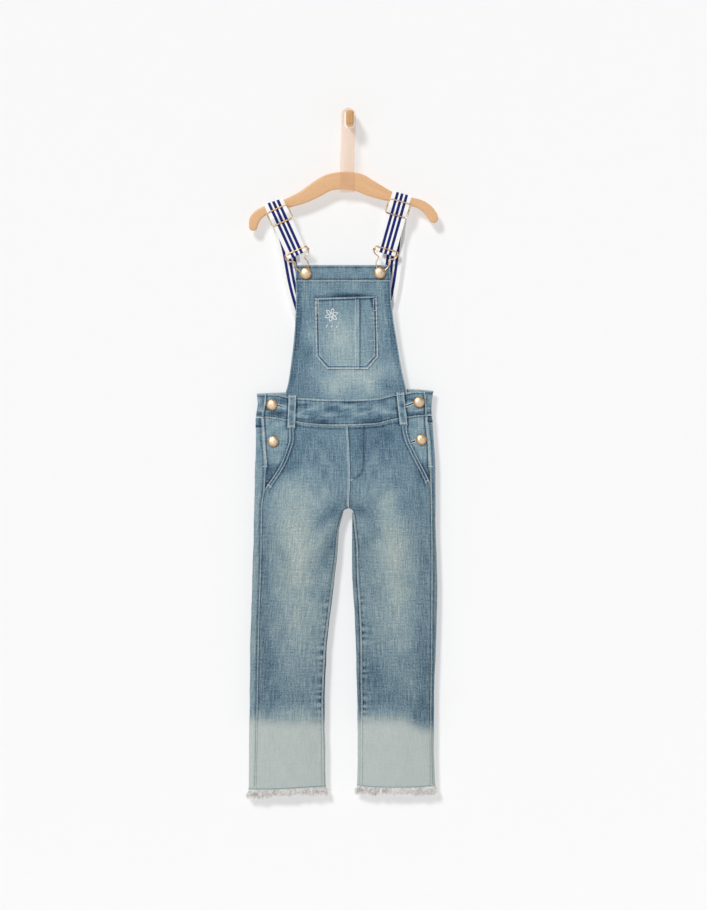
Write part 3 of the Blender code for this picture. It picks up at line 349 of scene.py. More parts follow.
def skin(side, k, z):
    """Outer face of the trousers. k runs 0 to 1 across the front, from the inner edge to the outer fold, and 1 to 2
    back across the back; beyond 2 it comes round the inner fold onto the front again."""
    k, z = grids(k, z)
    cut = section(side, z)
    k = np.where(z < CROTCH, k % 2.0, np.clip(k, 0.0, 2.0))
    front = k <= 1.0
    run = np.where(front, k, 2.0 - k) * cut["length"]
    from_inner, inner_share = fold(run, cut["start"])
    from_outer, outer_share = fold(cut["length"] - run)
    across = np.where(run < cut["length"] / 2, from_inner, cut["width"] - from_outer)
    share = np.maximum(1 - across / cut["width"], 0.0)
    full = np.maximum(np.sin(math.pi * (1 - cut["open"] / 2) * share), 0.0) ** 0.7
    x = cut["inner"] + cut["sign"] * across
    depth = np.where(front, cut["front"], cut["back"])
    folds = np.where(front, creased(FOLDS, side, "front", x, z), creased(FOLDS, side, "back", x, z))
    out = (FOLD + (depth - FOLD) * full + folds * full) * inner_share * outer_share
    return np.stack((x, np.where(front, MIDDLE - out, MIDDLE + out), z), -1)


def facing_out(side, k, z):
    """The way out of the cloth at a point."""
    small_k, small_z = 0.002, 0.3
    across = skin(side, k + small_k, z) - skin(side, k - small_k, z)
    up = skin(side, k, z + small_z) - skin(side, k, z - small_z)
    return unit(np.cross(across, up)) * (1.0 if side == "left" else -1.0)


def spot(side, k, z, inward=0.0):
    """A point that far inside the trousers' outer face."""
    return skin(side, k, z) - facing_out(side, k, z) * np.asarray(inward, float)[..., None]


def k_at(side, x, z):
    """The place k on the front face that lies at x."""
    cut = section(side, z)
    distance = np.maximum((x - cut["inner"]) * cut["sign"], 0.0)
    near = unfold(distance, cut["start"]) / cut["length"]
    far = 1.0 - unfold(np.maximum(cut["width"] - distance, 0.0)) / cut["length"]
    return np.where(distance < cut["width"] / 2, near, far)


def face_spot(x, z, inward=0.0, back=False):
    """A point on or inside the front or back at x, of whichever side that is."""
    x, z, inward = grids(x, z, inward)
    points = {}
    for side in SIDES:
        k = k_at(side, x, z)
        points[side] = spot(side, 2.0 - k if back else k, z, inward)
    return np.where((x > read(CENTRE, "x", z))[..., None], points["left"], points["right"])


def front_spot(x, z, inward=0.0):
    return face_spot(x, z, inward)


def back_spot(x, z, inward=0.0):
    return face_spot(x, z, inward, back=True)


def hem_z(side, k):
    """The hem climbs a little to the inside of each leg."""
    along = np.where(k % 2.0 > 1.0, np.abs(k % 2.0 - 1.0), 1.0 - k % 2.0)
    rise = 4.2 * smooth(along * 1.3 - 0.3) if side == "right" else 3.6 * np.abs(2 * along - 1) ** 3
    return HEM[side] + rise


def front_edge(side, z):
    """Outer edge of a trouser front: the slanted pocket edge above, the side seam below."""
    return np.where(z > POCKET_END[side], read(POCKET_EDGE, side, z), read(SIDE_SEAM, side, z))


def toward_centre(side, amount):
    return amount if side == "right" else -amount


def facing_level(side, x, z):
    """How far the hip facing lies inside: level with the cloth at the placket, one layer under at the pocket edge."""
    seam = read(SIDE_SEAM, side, z)
    across = toward_centre(side, x - seam)
    wide = toward_centre(side, front_edge(side, z) - seam)
    at_seam = UNDER * smooth((-525.0 - z) / 20.0)
    return mix(at_seam, UNDER, smooth(across / np.maximum(wide - 2.0, 2.0)))


def hung(x, z):
    """The height of a front row at x: the rows near the top follow the waistband's lower edge."""
    top = read(BAND_FRONT, "bottom", x) - BAND_SEAM
    return z + (top - PANEL_TOP) * smooth((z + 520.0) / 70.0)


# ---------------------------------------------------------------------------------------------- wash and rumple

# Soft patches that the wash left lighter, or that kept their dye: x, z, half width, half height, amount
WASH = {
    ("right", "front"): (
        (-84, -572, 36, 54, 0.18), (-80, -640, 32, 70, 0.25), (-76, -745, 32, 80, 0.20),
        (-58, -470, 34, 30, -0.06), (-62, -500, 40, 28, -0.05), (-129, -660, 8, 140, -0.08), (-22, -596, 10, 16, -0.10),
        (-122, -852, 16, 46, -0.12), (-84, -891, 60, 9, 0.12), (-112, -538, 14, 16, -0.10),
        (-98, -506, 14, 24, -0.16), (-125, -780, 9, 90, -0.08), (-92, -866, 50, 12, -0.05),
        (-83, -515, 18, 44, -0.08), (-42, -574, 17, 17, 0.08), (-110, -790, 12, 15, -0.06),
    ),
    ("left", "front"): (
        (62, -576, 32, 52, 0.14), (68, -645, 30, 70, 0.23), (68, -740, 29, 76, 0.18),
        (36, -470, 30, 30, -0.08), (62, -500, 40, 28, -0.08), (34, -620, 13, 15, -0.12), (112, -830, 14, 80, -0.12),
        (106, -888, 18, 20, -0.10), (106, -536, 12, 20, -0.08), (14, -592, 11, 14, -0.10),
        (44, -890, 46, 9, 0.05), (14, -486, 13, 28, -0.12), (54, -472, 22, 20, -0.12),
        (84, -586, 15, 34, -0.17), (36, -838, 26, 38, -0.15), (107, -640, 9, 110, -0.10),
        (58, -868, 36, 16, -0.08), (68, -542, 30, 26, -0.06),
    ),
    ("right", "back"): (
        (-76, -540, 34, 46, 0.18), (-78, -700, 28, 110, 0.18), (-130, -700, 12, 200, -0.08),
        (-24, -700, 14, 180, -0.06), (-80, -882, 60, 18, -0.06),
    ),
    ("left", "back"): (
        (58, -540, 34, 46, 0.18), (62, -700, 28, 110, 0.18), (112, -700, 12, 200, -0.08),
        (14, -700, 12, 180, -0.06), (64, -882, 60, 18, -0.06),
    ),
}
# The bib's patches, in the same columns; the narrow dark one at x 0 and z -265 is a painted shadow above the pocket's
# mouth.
BIB_WASH = (
    (8, -392, 66, 26, 0.27), (-10, -334, 32, 36, 0.26), (0, -265, 28, 3.6, -0.42),
    (-78, -330, 12, 100, -0.06), (64, -330, 12, 100, -0.03), (-18, -320, 16, 26, 0.08),
    (56, -400, 14, 12, -0.26), (-4, -300, 200, 200, 0.04), (-68, -394, 20, 36, -0.16), (-72, -318, 13, 24, -0.06),
)
# Where the dip bleach starts, at the inner and at the outer edge of each leg
DIP = {"right": (-904.0, -902.0), "left": (-901.0, -916.0)}
DIP_SOFT = 15.0


def patches(rows, x, z):
    total = np.zeros(np.broadcast(x, z).shape)
    for x0, z0, half_x, half_z, amount in rows:
        total += amount * np.exp(-((x - x0) / half_x) ** 2 - ((z - z0) / half_z) ** 2)
    return total


def dipped(side, x, z):
    """0 above the bleach to 1 in it; the line is uneven and hangs lower at one outer edge."""
    cut = section(side, z)
    out = np.clip((x - cut["inner"]) * cut["sign"] / cut["width"], 0.0, 1.0)
    line = mix(DIP[side][0], DIP[side][1], smooth((out - 0.55) / 0.35)) + 0.8 * waves(x, z * 0.4, 91, 34.0)
    return smooth(0.5 + (line - z) / (2 * DIP_SOFT))


def pucker(along, away, seed, pitch, reach):
    """Short gathers square to a seam, of uneven spacing and strength, fading away from it."""
    shift = 0.9 * waves(along, 0.0, seed, pitch * 3.4)
    strength = 0.75 + 0.35 * waves(along, 0.0, seed + 1, pitch * 5.0)
    return np.sin(2 * math.pi * along / pitch + shift) * strength * np.exp(-np.abs(away) / reach)


def rumple(side, k, z):
    """Creases, gathers and small waves of the trousers at a place: height in millimetres, and how much wash and wear it
    shows.
    """
    k, z = grids(k, z)
    point = skin(side, k, z)
    x = point[..., 0]
    front = (np.where(z < CROTCH, k % 2.0, k)) <= 1.0
    sign = 1 if side == "left" else 2
    creases = np.where(front, creased(CREASES, side, "front", x, z), creased(CREASES, side, "back", x, z))
    calm = smooth((-470.0 - z) / 40.0) * smooth((z - HEM[side]) / 30.0)
    small = 0.16 * waves(x, z * 0.55, 10 + sign, 26.0) + 0.07 * waves(x, z, 20 + sign, 9.0)
    cut = section(side, z)
    run = np.where(z < CROTCH, k % 2.0, k) * cut["length"]
    inseam = read(INSEAM, side, z)
    from_inseam = np.where(front, run - inseam, 1e3)
    gathers = np.where(from_inseam > 0, pucker(z, from_inseam, 30 + sign, 10.5, 5.5), 0.0)
    gathers *= smooth((-690.0 - z) / 60.0) * smooth((z + 925.0) / 30.0) * 0.9 + 0.25 * smooth((-600.0 - z) / 30.0)
    seam_run = np.where(front, np.abs(x - read(SIDE_SEAM, side, z)), 1e3)
    ripples = pucker(z, seam_run, 40 + sign, 8.5, 4.0) * 0.32 * smooth((-556.0 - z) / 30.0)
    height = (creases + small) * calm + 0.75 * gathers + ripples
    wear_and_shading = patches(WASH[side, "front"], x, z) * front + patches(WASH[side, "back"], x, z) * ~front
    wear_and_shading = wear_and_shading + 0.12 * creases + 0.10 * small * calm + 0.30 * gathers + 0.16 * ripples
    return height, wear_and_shading


# ---------------------------------------------------------------------------------------------- meshes


def finished(name, points, faces, material, slot, attributes=None, uv=None, angle=60.0):
    """A mesh piece from points in millimetres, riding on the one body. uv is a place in metres for every point."""
    mesh = bpy.data.meshes.new(name)
    points = np.asarray(points, float).reshape(-1, 3)
    mesh.from_pydata((points * MM).tolist(), [], faces)
    for key, values in (attributes or {}).items():
        layer = mesh.attributes.new(key, "FLOAT", "POINT")
        layer.data.foreach_set("value", np.asarray(values, np.float32).ravel())
    if uv is not None:
        corner = np.empty(len(mesh.loops), np.int32)
        mesh.loops.foreach_get("vertex_index", corner)
        layer = mesh.uv_layers.new(name="grain")
        layer.data.foreach_set("uv", np.asarray(uv, np.float32).reshape(-1, 2)[corner].ravel())
    mesh.shade_smooth()
    mesh.set_sharp_from_angle(angle=math.radians(angle))
    mesh.materials.append(material)
    made = bpy.data.objects.new(name, mesh)
    bpy.context.scene.collection.objects.link(made)
    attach(made, "root")
    return made


def wall_faces(rows, columns):
    """Faces of a wall between two grids: the outer grid's points come first."""
    index = np.arange(rows * columns).reshape(rows, columns)
    a, b, c, d = index[:-1, :-1], index[:-1, 1:], index[1:, 1:], index[1:, :-1]
    outer = np.stack((a, b, c, d), -1).reshape(-1, 4)
    shift = rows * columns
    rim = np.concatenate((index[0, :], index[1:, -1], index[-1, -2::-1], index[-2:0:-1, 0]))
    ahead = np.roll(rim, -1)
    edge = np.stack((rim, rim + shift, ahead + shift, ahead), -1)
    return np.concatenate((outer, outer[:, ::-1] + shift, edge))


def outward(grid, toward):
    """True if the grid's faces look the way that a direction points."""
    a, b, c = grid[:-1, :-1], grid[:-1, 1:], grid[1:, 1:]
    return (np.cross(b - a, c - a).sum(axis=(0, 1)) * toward).sum() > 0


def stacked(outer, inner):
    """The points of both faces of a sheet, one after the other."""
    return np.concatenate((outer.reshape(-1, 3), inner.reshape(-1, 3)))


def lifted(base, out, lift):
    """The two faces of denim that is raised off a smooth form."""
    return base + out * lift[..., None], base + out * (lift - DENIM)[..., None]


def faces_at(place, u, v, lift, thick=DENIM):
    """The two faces of cloth that is raised off a surface, which place gives."""
    return place(u, v, -lift), place(u, v, thick - lift)


def shell(node, two_faces, material, wear_and_shading=0.0, dip=0.0, grain=None, cut=None):
    """A denim shell between two grids of points, which stands for a CAD node. cut, the smooth grid it is cut to, is not
    used.
    """
    outer, inner = two_faces
    rows, columns = outer.shape[:2]
    faces = wall_faces(rows, columns)
    if not outward(outer, (outer - inner).mean(axis=(0, 1))):
        faces = faces[:, ::-1]
    count = rows * columns
    wear_and_shading, dip = (np.broadcast_to(values, (rows, columns)).ravel() for values in (wear_and_shading, dip))
    if grain is None:
        grain = np.stack((outer[..., 0], outer[..., 2]), -1)
    grain = grain.reshape(-1, 2) * MM
    made = finished(
        f"{node}_denim", stacked(outer, inner), faces.tolist(), material, "denim",
        {"wear_and_shading": np.tile(wear_and_shading, 2), "dip": np.tile(dip, 2), "inside": np.repeat((0.0, 1.0), count)},
        np.concatenate((grain, grain)),
    )
    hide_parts(node)
    cut = outer if cut is None else cut


# ---------------------------------------------------------------------------------------------- trouser panels

LEG_PITCH = 2.0


def edge_wear_and_shade(away, width=1.1):
    """Rubbed white at a turned edge, which is wear, and a darker line just inside it, partly dye kept in the ditch and
    partly painted shade.
    """
    return 0.44 * bell(away, width) - 0.46 * bell(away - 3.2, 1.3)


def crowded(count, share=0.65):
    """Places from 0 to 1 that stand closer together towards both ends, where the seams are."""
    even = np.linspace(0.0, 1.0, count)
    return mix(even, (1 - np.cos(math.pi * even)) / 2, share)


def shade_beside_loops(x, z, ending):
    """Painted shade in the cloth close along the belt loops whose names start so."""
    total = np.zeros(np.broadcast(x, z).shape)
    for name, (_, top_x, foot_x, top_z, foot_z) in LOOPS.items():
        if name.startswith(ending):
            share = (top_z - z) / (top_z - foot_z)
            away = np.abs(x - mix(top_x, foot_x, share)) - 6.6
            length = smooth((share + 0.05) / 0.06) * smooth((1.05 - share) / 0.06)
            total -= 0.50 * bell(away, 1.5) * length
    return total


def trouser_front(side, material):
    share = crowded(80)[None, :]
    z = np.linspace(PANEL_TOP, HEM[side], int((PANEL_TOP - HEM[side]) / LEG_PITCH))[:, None]
    z = z + 0.0 * share
    height = z.copy()
    for _ in range(4):
        cut = section(side, height)
        k_start = (read(INSEAM, side, height) + SEAM / 2) / cut["length"]
        k_end = k_at(side, front_edge(side, height), height) - SEAM / 2 / cut["length"]
        k = mix(k_start, k_end, share)
        low = (hem_z(side, k) - HEM[side]) * smooth((-900.0 - z) / (-900.0 - HEM[side]))
        height = hung(skin(side, k, height)[..., 0], z) + low
    base, out = skin(side, k, height), facing_out(side, k, height)
    lift, wear_and_shading = rumple(side, k, height)
    from_outer, from_inner = (k_end - k) * cut["length"], (k - k_start) * cut["length"]
    pocket = smooth((height - POCKET_END[side] + 10.0) / 12.0)
    lift = lift + 0.55 * smooth((8.5 - from_outer) / 1.6) * pocket
    fly = smooth((height - CROTCH + 6.0) / 8.0)
    # Painted shade: dark lines in the cloth just beyond the pocket's inner row, along the side seam, beside the fly's
    # edge and along the inseam.
    wear_and_shading = wear_and_shading + 0.5 * edge_wear_and_shade(from_outer) * pocket - 0.26 * pocket * bell(from_outer - 8.4, 1.3)
    wear_and_shading = wear_and_shading + edge_wear_and_shade(PANEL_TOP - z) * 0.7
    wear_and_shading = wear_and_shading - 0.30 * (1 - pocket) * bell(from_outer, 1.3)
    wear_and_shading = wear_and_shading + fly * (0.22 * bell(from_inner, 1.4) if side == "right" else -0.36 * np.exp(-from_inner / 2.2))
    wear_and_shading = wear_and_shading - (1 - fly) * 0.26 * bell(from_inner, 1.4) + shade_beside_loops(base[..., 0], height, "belt_loop_front")
    # Painted shade along the false fly's curved row.
    if side == "left":
        x, (row, bend, drop) = base[..., 0], FLY_ROW
        away = np.where(height > bend, x - row, (np.hypot(x / row, (height - bend) / drop) - 1) * (row + drop) / 2)
        wear_and_shading = wear_and_shading - 0.20 * bell(away, 1.8) * smooth((x - 2.0) / 2.0)
    grain = np.stack((k * cut["length"], height), -1)
    shell(f"front_{side}", lifted(base, out, lift), material, wear_and_shading=wear_and_shading,
          dip=dipped(side, base[..., 0], height), grain=grain, cut=base)


def yoke_z(side, k):
    return mix(YOKE[side], YOKE_CENTRE, smooth(np.maximum(k - 1.0, 0.0)))


def back_places(side, z, counts):
    """Places k across a back: round the outer fold, across, and round the inner fold to the inseam."""
    cut = section(side, z)
    turn = ARC / cut["length"]
    start = k_at(side, read(SIDE_SEAM, side, z), z) + SEAM / 2 / cut["length"]
    end = 2.0 + (read(INSEAM, side, z) - SEAM / 2) / cut["length"]
    stops = [start, 1.0 + 0.0 * turn, 1.0 + turn, 2.0 - turn, end]
    parts = [mix(a, b, np.linspace(0.0, 1.0, n)[None, :-1]) for a, b, n in zip(stops, stops[1:], counts)]
    return np.concatenate((*parts, end + 0.0 * parts[0][:, :1]), axis=1)


def level_places(side, z, counts):
    """The same, where the rows don't run level: z is a height for every point."""
    return np.concatenate([back_places(side, z[:, c:c + 1], counts)[:, c:c + 1] for c in range(z.shape[1])], axis=1)


BACK_COUNTS = (11, 5, 52, 13)


def trouser_back(side, material):
    top = -470.0
    z = np.linspace(top, HEM[side], int((top - HEM[side]) / LEG_PITCH))[:, None]
    k = back_places(side, z, BACK_COUNTS)
    for _ in range(4):
        low = (hem_z(side, k) - HEM[side]) * smooth((-900.0 - z) / (-900.0 - HEM[side]))
        high = (yoke_z(side, k) - SEAM / 2 - top) * (1 - smooth((top - z) / YOKE_WARP))
        height = z + high + low
        k = level_places(side, height, BACK_COUNTS)
    cut = section(side, height)
    base, out = skin(side, k, height), facing_out(side, k, height)
    lift, wear_and_shading = rumple(side, k, height)
    from_side, from_inseam = (k - k[:, :1]) * cut["length"], (k[:, -1:] - k) * cut["length"]
    lift = lift + 0.45 * smooth((6.5 - from_side) / 1.4)
    lift = lift + 0.5 * smooth((5.5 - from_inseam) / 1.4) * (height < CROTCH - 4)
    # Painted light: the back is painted paler along its outer fold.
    wear_and_shading = wear_and_shading + edge_wear_and_shade(from_side) * 0.7 + edge_wear_and_shade(from_inseam) * 0.9 + 0.10 * smooth((1.06 - k) / 0.05)
    grain = np.stack((k * cut["length"], height), -1)
    shell(f"back_{side}", lifted(base, out, lift), material, wear_and_shading=wear_and_shading,
          dip=dipped(side, base[..., 0], height), grain=grain, cut=base)


def yoke(side, material):
    counts = (11, 5, 40, 9)
    base_k = back_places(side, np.full((1, 1), PANEL_TOP), counts)
    x = skin(side, base_k, PANEL_TOP)[..., 0]
    top = read(BAND_BACK, "bottom", x) - BAND_SEAM
    top = np.where(base_k < 1.0, np.minimum(top, read(BAND_FRONT, "bottom", x) - BAND_SEAM), top)
    share = np.linspace(0.0, 1.0, 14)[:, None]
    z = mix(top, yoke_z(side, base_k) + SEAM / 2, share)
    k = level_places(side, z, counts)
    base, out = skin(side, k, z), facing_out(side, k, z)
    tall = top - yoke_z(side, base_k)
    lift = 0.5 * smooth((6.5 - (1 - share) * tall) / 1.4) + 0.12 * waves(base[..., 0], z, 50, 18.0)
    from_side = (k - k[:, :1]) * section(side, z)["length"]
    wear_and_shading = edge_wear_and_shade((1 - share) * tall) + edge_wear_and_shade(from_side) * 0.8 - 0.08 + 0.06 * waves(base[..., 0], z, 51, 22.0)
    shell(f"yoke_{side}", lifted(base, out, lift), material, wear_and_shading=wear_and_shading, cut=base)


def facing(side, material):
    height = np.linspace(PANEL_TOP, -564.0, 60)[:, None] + np.zeros((1, 26))
    share = np.linspace(0.0, 1.0, 26)[None, :]
    x, z = read(SIDE_SEAM, side, height), height
    for _ in range(3):
        z = hung(x, height)
        seam = read(SIDE_SEAM, side, z) + toward_centre(side, SEAM / 2)
        x = mix(seam, read(POCKET_EDGE, side, z) + toward_centre(side, FACING_OVER), share)
    level = facing_level(side, x, z)
    from_seam = np.abs(x - seam)
    lift = 0.22 * waves(x, z, 60, 14.0) + 0.30 * smooth((4.0 - from_seam) / 1.2) * smooth((z + 524.0) / 4.0)
    wear_and_shading = 0.10 + edge_wear_and_shade(from_seam) * smooth((z + 530.0) / 8.0) + 0.03 * waves(x, z, 61, 18.0)
    # Painted shade: darker towards the foot, inside the pocket, and in a line along the pocket's edge.
    wear_and_shading = wear_and_shading - 0.34 * smooth((-512.0 - z) / 16.0) + shade_beside_loops(x, z, "belt_loop_front")
    pocket_gap = np.abs(x - read(POCKET_EDGE, side, z))
    wear_and_shading = wear_and_shading - 0.30 * bell(pocket_gap, 2.6)
    lift = np.minimum(lift, 0.9 * level + 0.25)
    shell(f"facing_{side}", faces_at(front_spot, x, z, lift - level), material,
          wear_and_shading=wear_and_shading, cut=front_spot(x, z, level))


def placket(side, material):
    top = min(float(read(BAND_BACK, "bottom", read(SIDE_SEAM, side, -448.0))), -448.0) - 3.0
    z = np.linspace(top, OPENING_END, 30)[:, None]
    seam = read(SIDE_SEAM, side, z)
    share = np.linspace(0.0, 1.0, 12)[None, :]
    x = mix(seam - toward_centre(side, PLACKET_UNDER), seam + toward_centre(side, PLACKET_OVER), share)
    level = UNDER + np.where(toward_centre(side, x - seam) > 0, facing_level(side, x, z), 0.0)
    shell(f"placket_{side}", faces_at(front_spot, x, z, -level), material, wear_and_shading=-0.2)


def band_rumple(x, z, share, seed):
    """Waistband: flat ripples along it that calm near both edges, a slight rise along the top, pale rubbed edges top
    and bottom with painted shade just inside them, and a line of painted shade 7 mm above its foot.
    """
    from_top, from_bottom = share * BAND_TALL, (1 - share) * BAND_TALL
    lift = 0.30 * waves(x * 0.22, z, seed, 10.0) + 0.14 * waves(x * 0.5, z, seed + 1, 6.0)
    lift = lift * smooth(from_top / 7.0) * smooth(from_bottom / 7.0)
    lift = lift + 0.12 * smooth((5.0 - from_top) / 1.5)
    wear_and_shading = -0.02 + 0.10 * lift / 0.3 + 0.05 * waves(x * 0.5, z, seed + 2, 30.0)
    # Painted shade in a line 7 mm above the foot, along the row of stitching there.
    wear_and_shading = wear_and_shading - 0.24 * bell(from_bottom - 7.0, 1.2)
    return lift, wear_and_shading + edge_wear_and_shade(from_top) * 0.8 + edge_wear_and_shade(from_bottom) * 0.8


def band_front(material):
    centre = float(read(CENTRE, "x", -440.0))
    at = np.linspace(-1.0, 1.0, 151)[None, :]
    share = np.linspace(0.0, 1.0, 26)[:, None]
    ends = [read(SIDE_SEAM, side, BAND_LEVEL) for side in SIDES]
    x = mix(centre, np.where(at < 0, *ends), np.abs(at))
    z = mix(read(BAND_FRONT, "top", x), read(BAND_FRONT, "bottom", x), share)
    edge = np.where(at < 0, read(SIDE_SEAM, "right", z), read(SIDE_SEAM, "left", z))
    x = mix(centre, edge, np.abs(at)) + 0.2 * (at == 0.0)
    lift, wear_and_shading = band_rumple(x, z, share, 70)
    wear_and_shading = wear_and_shading + edge_wear_and_shade(np.abs(x - edge)) + shade_beside_loops(x, z, "belt_loop_front")
    shell("waistband_front", faces_at(front_spot, x, z, lift, BAND), material,
          wear_and_shading=wear_and_shading, cut=front_spot(x, z))


def band_back(material):
    reach = 24.0
    share = np.linspace(0.0, 1.0, 22)[:, None]
    halves = {}
    for side in SIDES:
        z = BAND_LEVEL
        turn = ARC / float(section(side, z)["length"])
        edge = float(read(SIDE_SEAM, side, z))
        seam, start = float(k_at(side, edge, z)), float(k_at(side, edge + toward_centre(side, reach), z))
        k = np.concatenate((np.linspace(start, seam, 12)[:-1], np.linspace(seam, 1.0, 9)[:-1],
                            np.linspace(1.0, 1.0 + turn, 6)[:-1], np.linspace(1.0 + turn, 2.0, 50)))[None, :]
        x = skin(side, k, z)[..., 0]
        top, bottom = read(BAND_BACK, "top", x), read(BAND_BACK, "bottom", x)
        tucked = smooth((1.05 - k) / (1.05 - seam - 0.012))
        height = mix(top - 2.0 * tucked, bottom + 0.5 * tucked, share)
        k = k + 0.0 * height
        lift, wear_and_shading = band_rumple(k * BAND_ROUND, height, share, 80)
        lift = lift * (1 - tucked)
        level = tucked * (BAND + LAYER) + 0.0 * height
        halves[side] = (spot(side, k, height, level - lift), spot(side, k, height, level - lift + BAND), wear_and_shading,
                       np.stack((k * BAND_ROUND * (1 if side == "right" else -1), height), -1))
    outer, inner, wear_and_shading, grain = (
        np.concatenate((right, left[:, -2::-1]), axis=1) for right, left in zip(halves["right"], halves["left"]))
    shell("waistband_back", (outer, inner), material, wear_and_shading=wear_and_shading,
          grain=grain)


# ---------------------------------------------------------------------------------------------- bib


def bib_x(across, z):
    return mix(read(BIB, "right", z), read(BIB, "left", z), across)


def bib_spot(across, z, inward=0.0):
    """A point on the bib, 0 at its right edge to 1 at its left; its foot goes inside the waistband."""
    across, z, inward = grids(across, z, inward)
    x = bib_x(across, z)
    tucked = front_spot(x, np.minimum(z, BIB_TUCK), BAND + LAYER)[..., 1]
    flat = BIB_FACE - 0.9 * np.sin(math.pi * across) * smooth((BIB_TOP - BIB_HEM - z) / 50.0)
    y = mix(flat, tucked, smooth((-290.0 - z) / 116.0))
    return np.stack((x, y + inward, z), -1)


def bib_edges(across, z):
    """Millimetres from the bib's right and left edges."""
    wide = read(BIB, "left", z) - read(BIB, "right", z)
    return across * wide, (1 - across) * wide


def bib_rumple(across, z):
    right, left = bib_edges(across, z)
    x = bib_x(across, z)
    near = np.minimum(right, left)
    side_hem = 0.42 * smooth((6.8 - near) / 1.4)
    gathers = pucker(z, np.abs(near - 4.0), 90, 4.6, 3.0) * 0.42 * smooth((-250.0 - z) / 10.0)
    small = 0.20 * waves(x, z * 0.7, 92, 30.0) + 0.07 * waves(x, z, 93, 10.0)
    calm = smooth((z - BIB_TUCK) / 14.0)
    # Painted shade: a dark line just inside the raised side hems.
    wear_and_shading = patches(BIB_WASH, x, z) + edge_wear_and_shade(near) * 0.6 + 0.50 * gathers - 0.16 * bell(near - 7.6, 1.8)
    return (side_hem + gathers + small) * calm, wear_and_shading + 0.10 * small


def bib(material):
    z = np.linspace(BIB_TOP, BIB_BOTTOM, 150)[:, None]
    across = crowded(96)[None, :]
    lift, wear_and_shading = bib_rumple(across, z)
    under = pocket_shadow(across, z)
    lift = lift * smooth((BIB_TOP - BIB_HEM - z) / 6.0) * (1 - under)
    shell("bib", faces_at(bib_spot, across, z, lift), material,
          # The bib is painted darker under the patch pocket, as shade.
          wear_and_shading=wear_and_shading - 0.25 * under, cut=bib_spot(across, z))


def pocket_half(z):
    """Half the patch pocket's width at a height; its lower corners are cut off."""
    return POCKET_HALF - POCKET_CHAMFER * np.maximum(0.0, (POCKET_CORNER - z) / (POCKET_CORNER - POCKET_FOOT))


def pocket_shadow(across, z):
    """1 where the patch pocket covers the bib, so that the bib lies flat under it and is painted darker there as shade.
    """
    x = bib_x(across, z)
    inside = smooth((pocket_half(z) + 1.5 - np.abs(x - POCKET_MIDDLE - (z - POCKET_TOP) * POCKET_LEAN)) / 3.0)
    return inside * smooth((POCKET_TOP + 4.0 - z) / 3.0) * smooth((z - POCKET_FOOT + 3.0) / 3.0)


def bib_hem(material):
    lift = DENIM + SEAM
    z = np.linspace(BIB_TOP, BIB_TOP - BIB_HEM, 18)[:, None]
    across = np.linspace(0.0, 1.0, 84)[None, :]
    x = bib_x(across, z)
    from_top, from_foot = BIB_TOP - z, z - (BIB_TOP - BIB_HEM)
    right, left = bib_edges(across, z)
    raised = 0.18 * waves(x, z * 0.6, 94, 22.0) * smooth(from_top / 4.0) + 0.10 + 0.0 * across
    wear_and_shading = 0.02 + edge_wear_and_shade(from_top) * 0.7 + edge_wear_and_shade(from_foot) * 0.9 + edge_wear_and_shade(np.minimum(right, left), 1.0) * 0.6
    wear_and_shading = wear_and_shading + 0.02 * waves(x, z, 95, 20.0)
    shell("bib_hem", faces_at(bib_spot, across, z, lift + raised), material,
          wear_and_shading=wear_and_shading, cut=bib_spot(across, z, -lift))


def pocket_place(across, z, inward=0.0):
    """A point on the patch pocket, -1 to 1 across it; its mouth gapes a little."""
    across, z, inward = grids(across, z, inward)
    x = POCKET_MIDDLE + (z - POCKET_TOP) * POCKET_LEAN + pocket_half(z) * across
    right, left = read(BIB, "right", z), read(BIB, "left", z)
    gape = 1.6 * smooth((z - POCKET_TOP + 34.0) / 34.0) * (1 - across * across)
    return bib_spot((x - right) / (left - right), z, inward - DENIM - SEAM - gape)



def bib_pocket(material):
    upper, lower = np.linspace(POCKET_TOP, POCKET_CORNER, 50), np.linspace(POCKET_CORNER, POCKET_FOOT, 12)
    base_z = np.concatenate((upper, lower[1:]))[:, None]
    across = crowded(84)[None, :] * 2 - 1
    z = base_z + POCKET_TILT * smooth((base_z - POCKET_CORNER) / (POCKET_TOP - POCKET_CORNER)) * across
    base = pocket_place(across, z)
    x = base[..., 0]
    from_side = (1 - np.abs(across)) * pocket_half(z) * np.where(z < POCKET_CORNER, 0.76, 1.0)
    from_foot = z - POCKET_FOOT
    near = np.minimum(from_side, from_foot)
    from_top = POCKET_TOP + POCKET_TILT * across - z
    lift = 0.14 + 0.16 * waves(x, z, 96, 16.0) * smooth(near / 9.0)
    strip = smooth((x - STRIP[0]) / 1.2) * smooth((STRIP[1] - x) / 1.2)
    gathers = pucker(z, near, 97, 7.0, 6.0)
    lift = lift + 0.55 * strip + gathers * 0.34 * (from_foot > 8) * smooth(from_side / 3.0)
    wear_and_shading = patches(BIB_WASH, x, z) - 0.02 + edge_wear_and_shade(near) * 0.9 + edge_wear_and_shade(from_top)
    # Painted shade: a dark line beside the raised strip.
    wear_and_shading = wear_and_shading + 0.05 * strip - 0.34 * bell(x - STRIP[1] - 1.2, 1.3) + 0.16 * gathers
    fold_x, fold_z, slope = POCKET_FOLD
    pressed = bell(x - fold_x - (fold_z - z) * slope, 1.9)
    pressed = pressed * smooth((z - fold_z + 27.0) / 8.0) * smooth((fold_z + 3.0 - z) / 3.0)
    # The small fold is pressed in and also painted darker as shade.
    lift, wear_and_shading = lift - 0.35 * pressed, wear_and_shading - 0.36 * pressed
    shape = np.stack((base[..., 0], base[..., 1] - lift, base[..., 2]), -1)
    shell("bib_pocket", (shape, shape + (0.0, DENIM, 0.0)), material, wear_and_shading=wear_and_shading, cut=base)


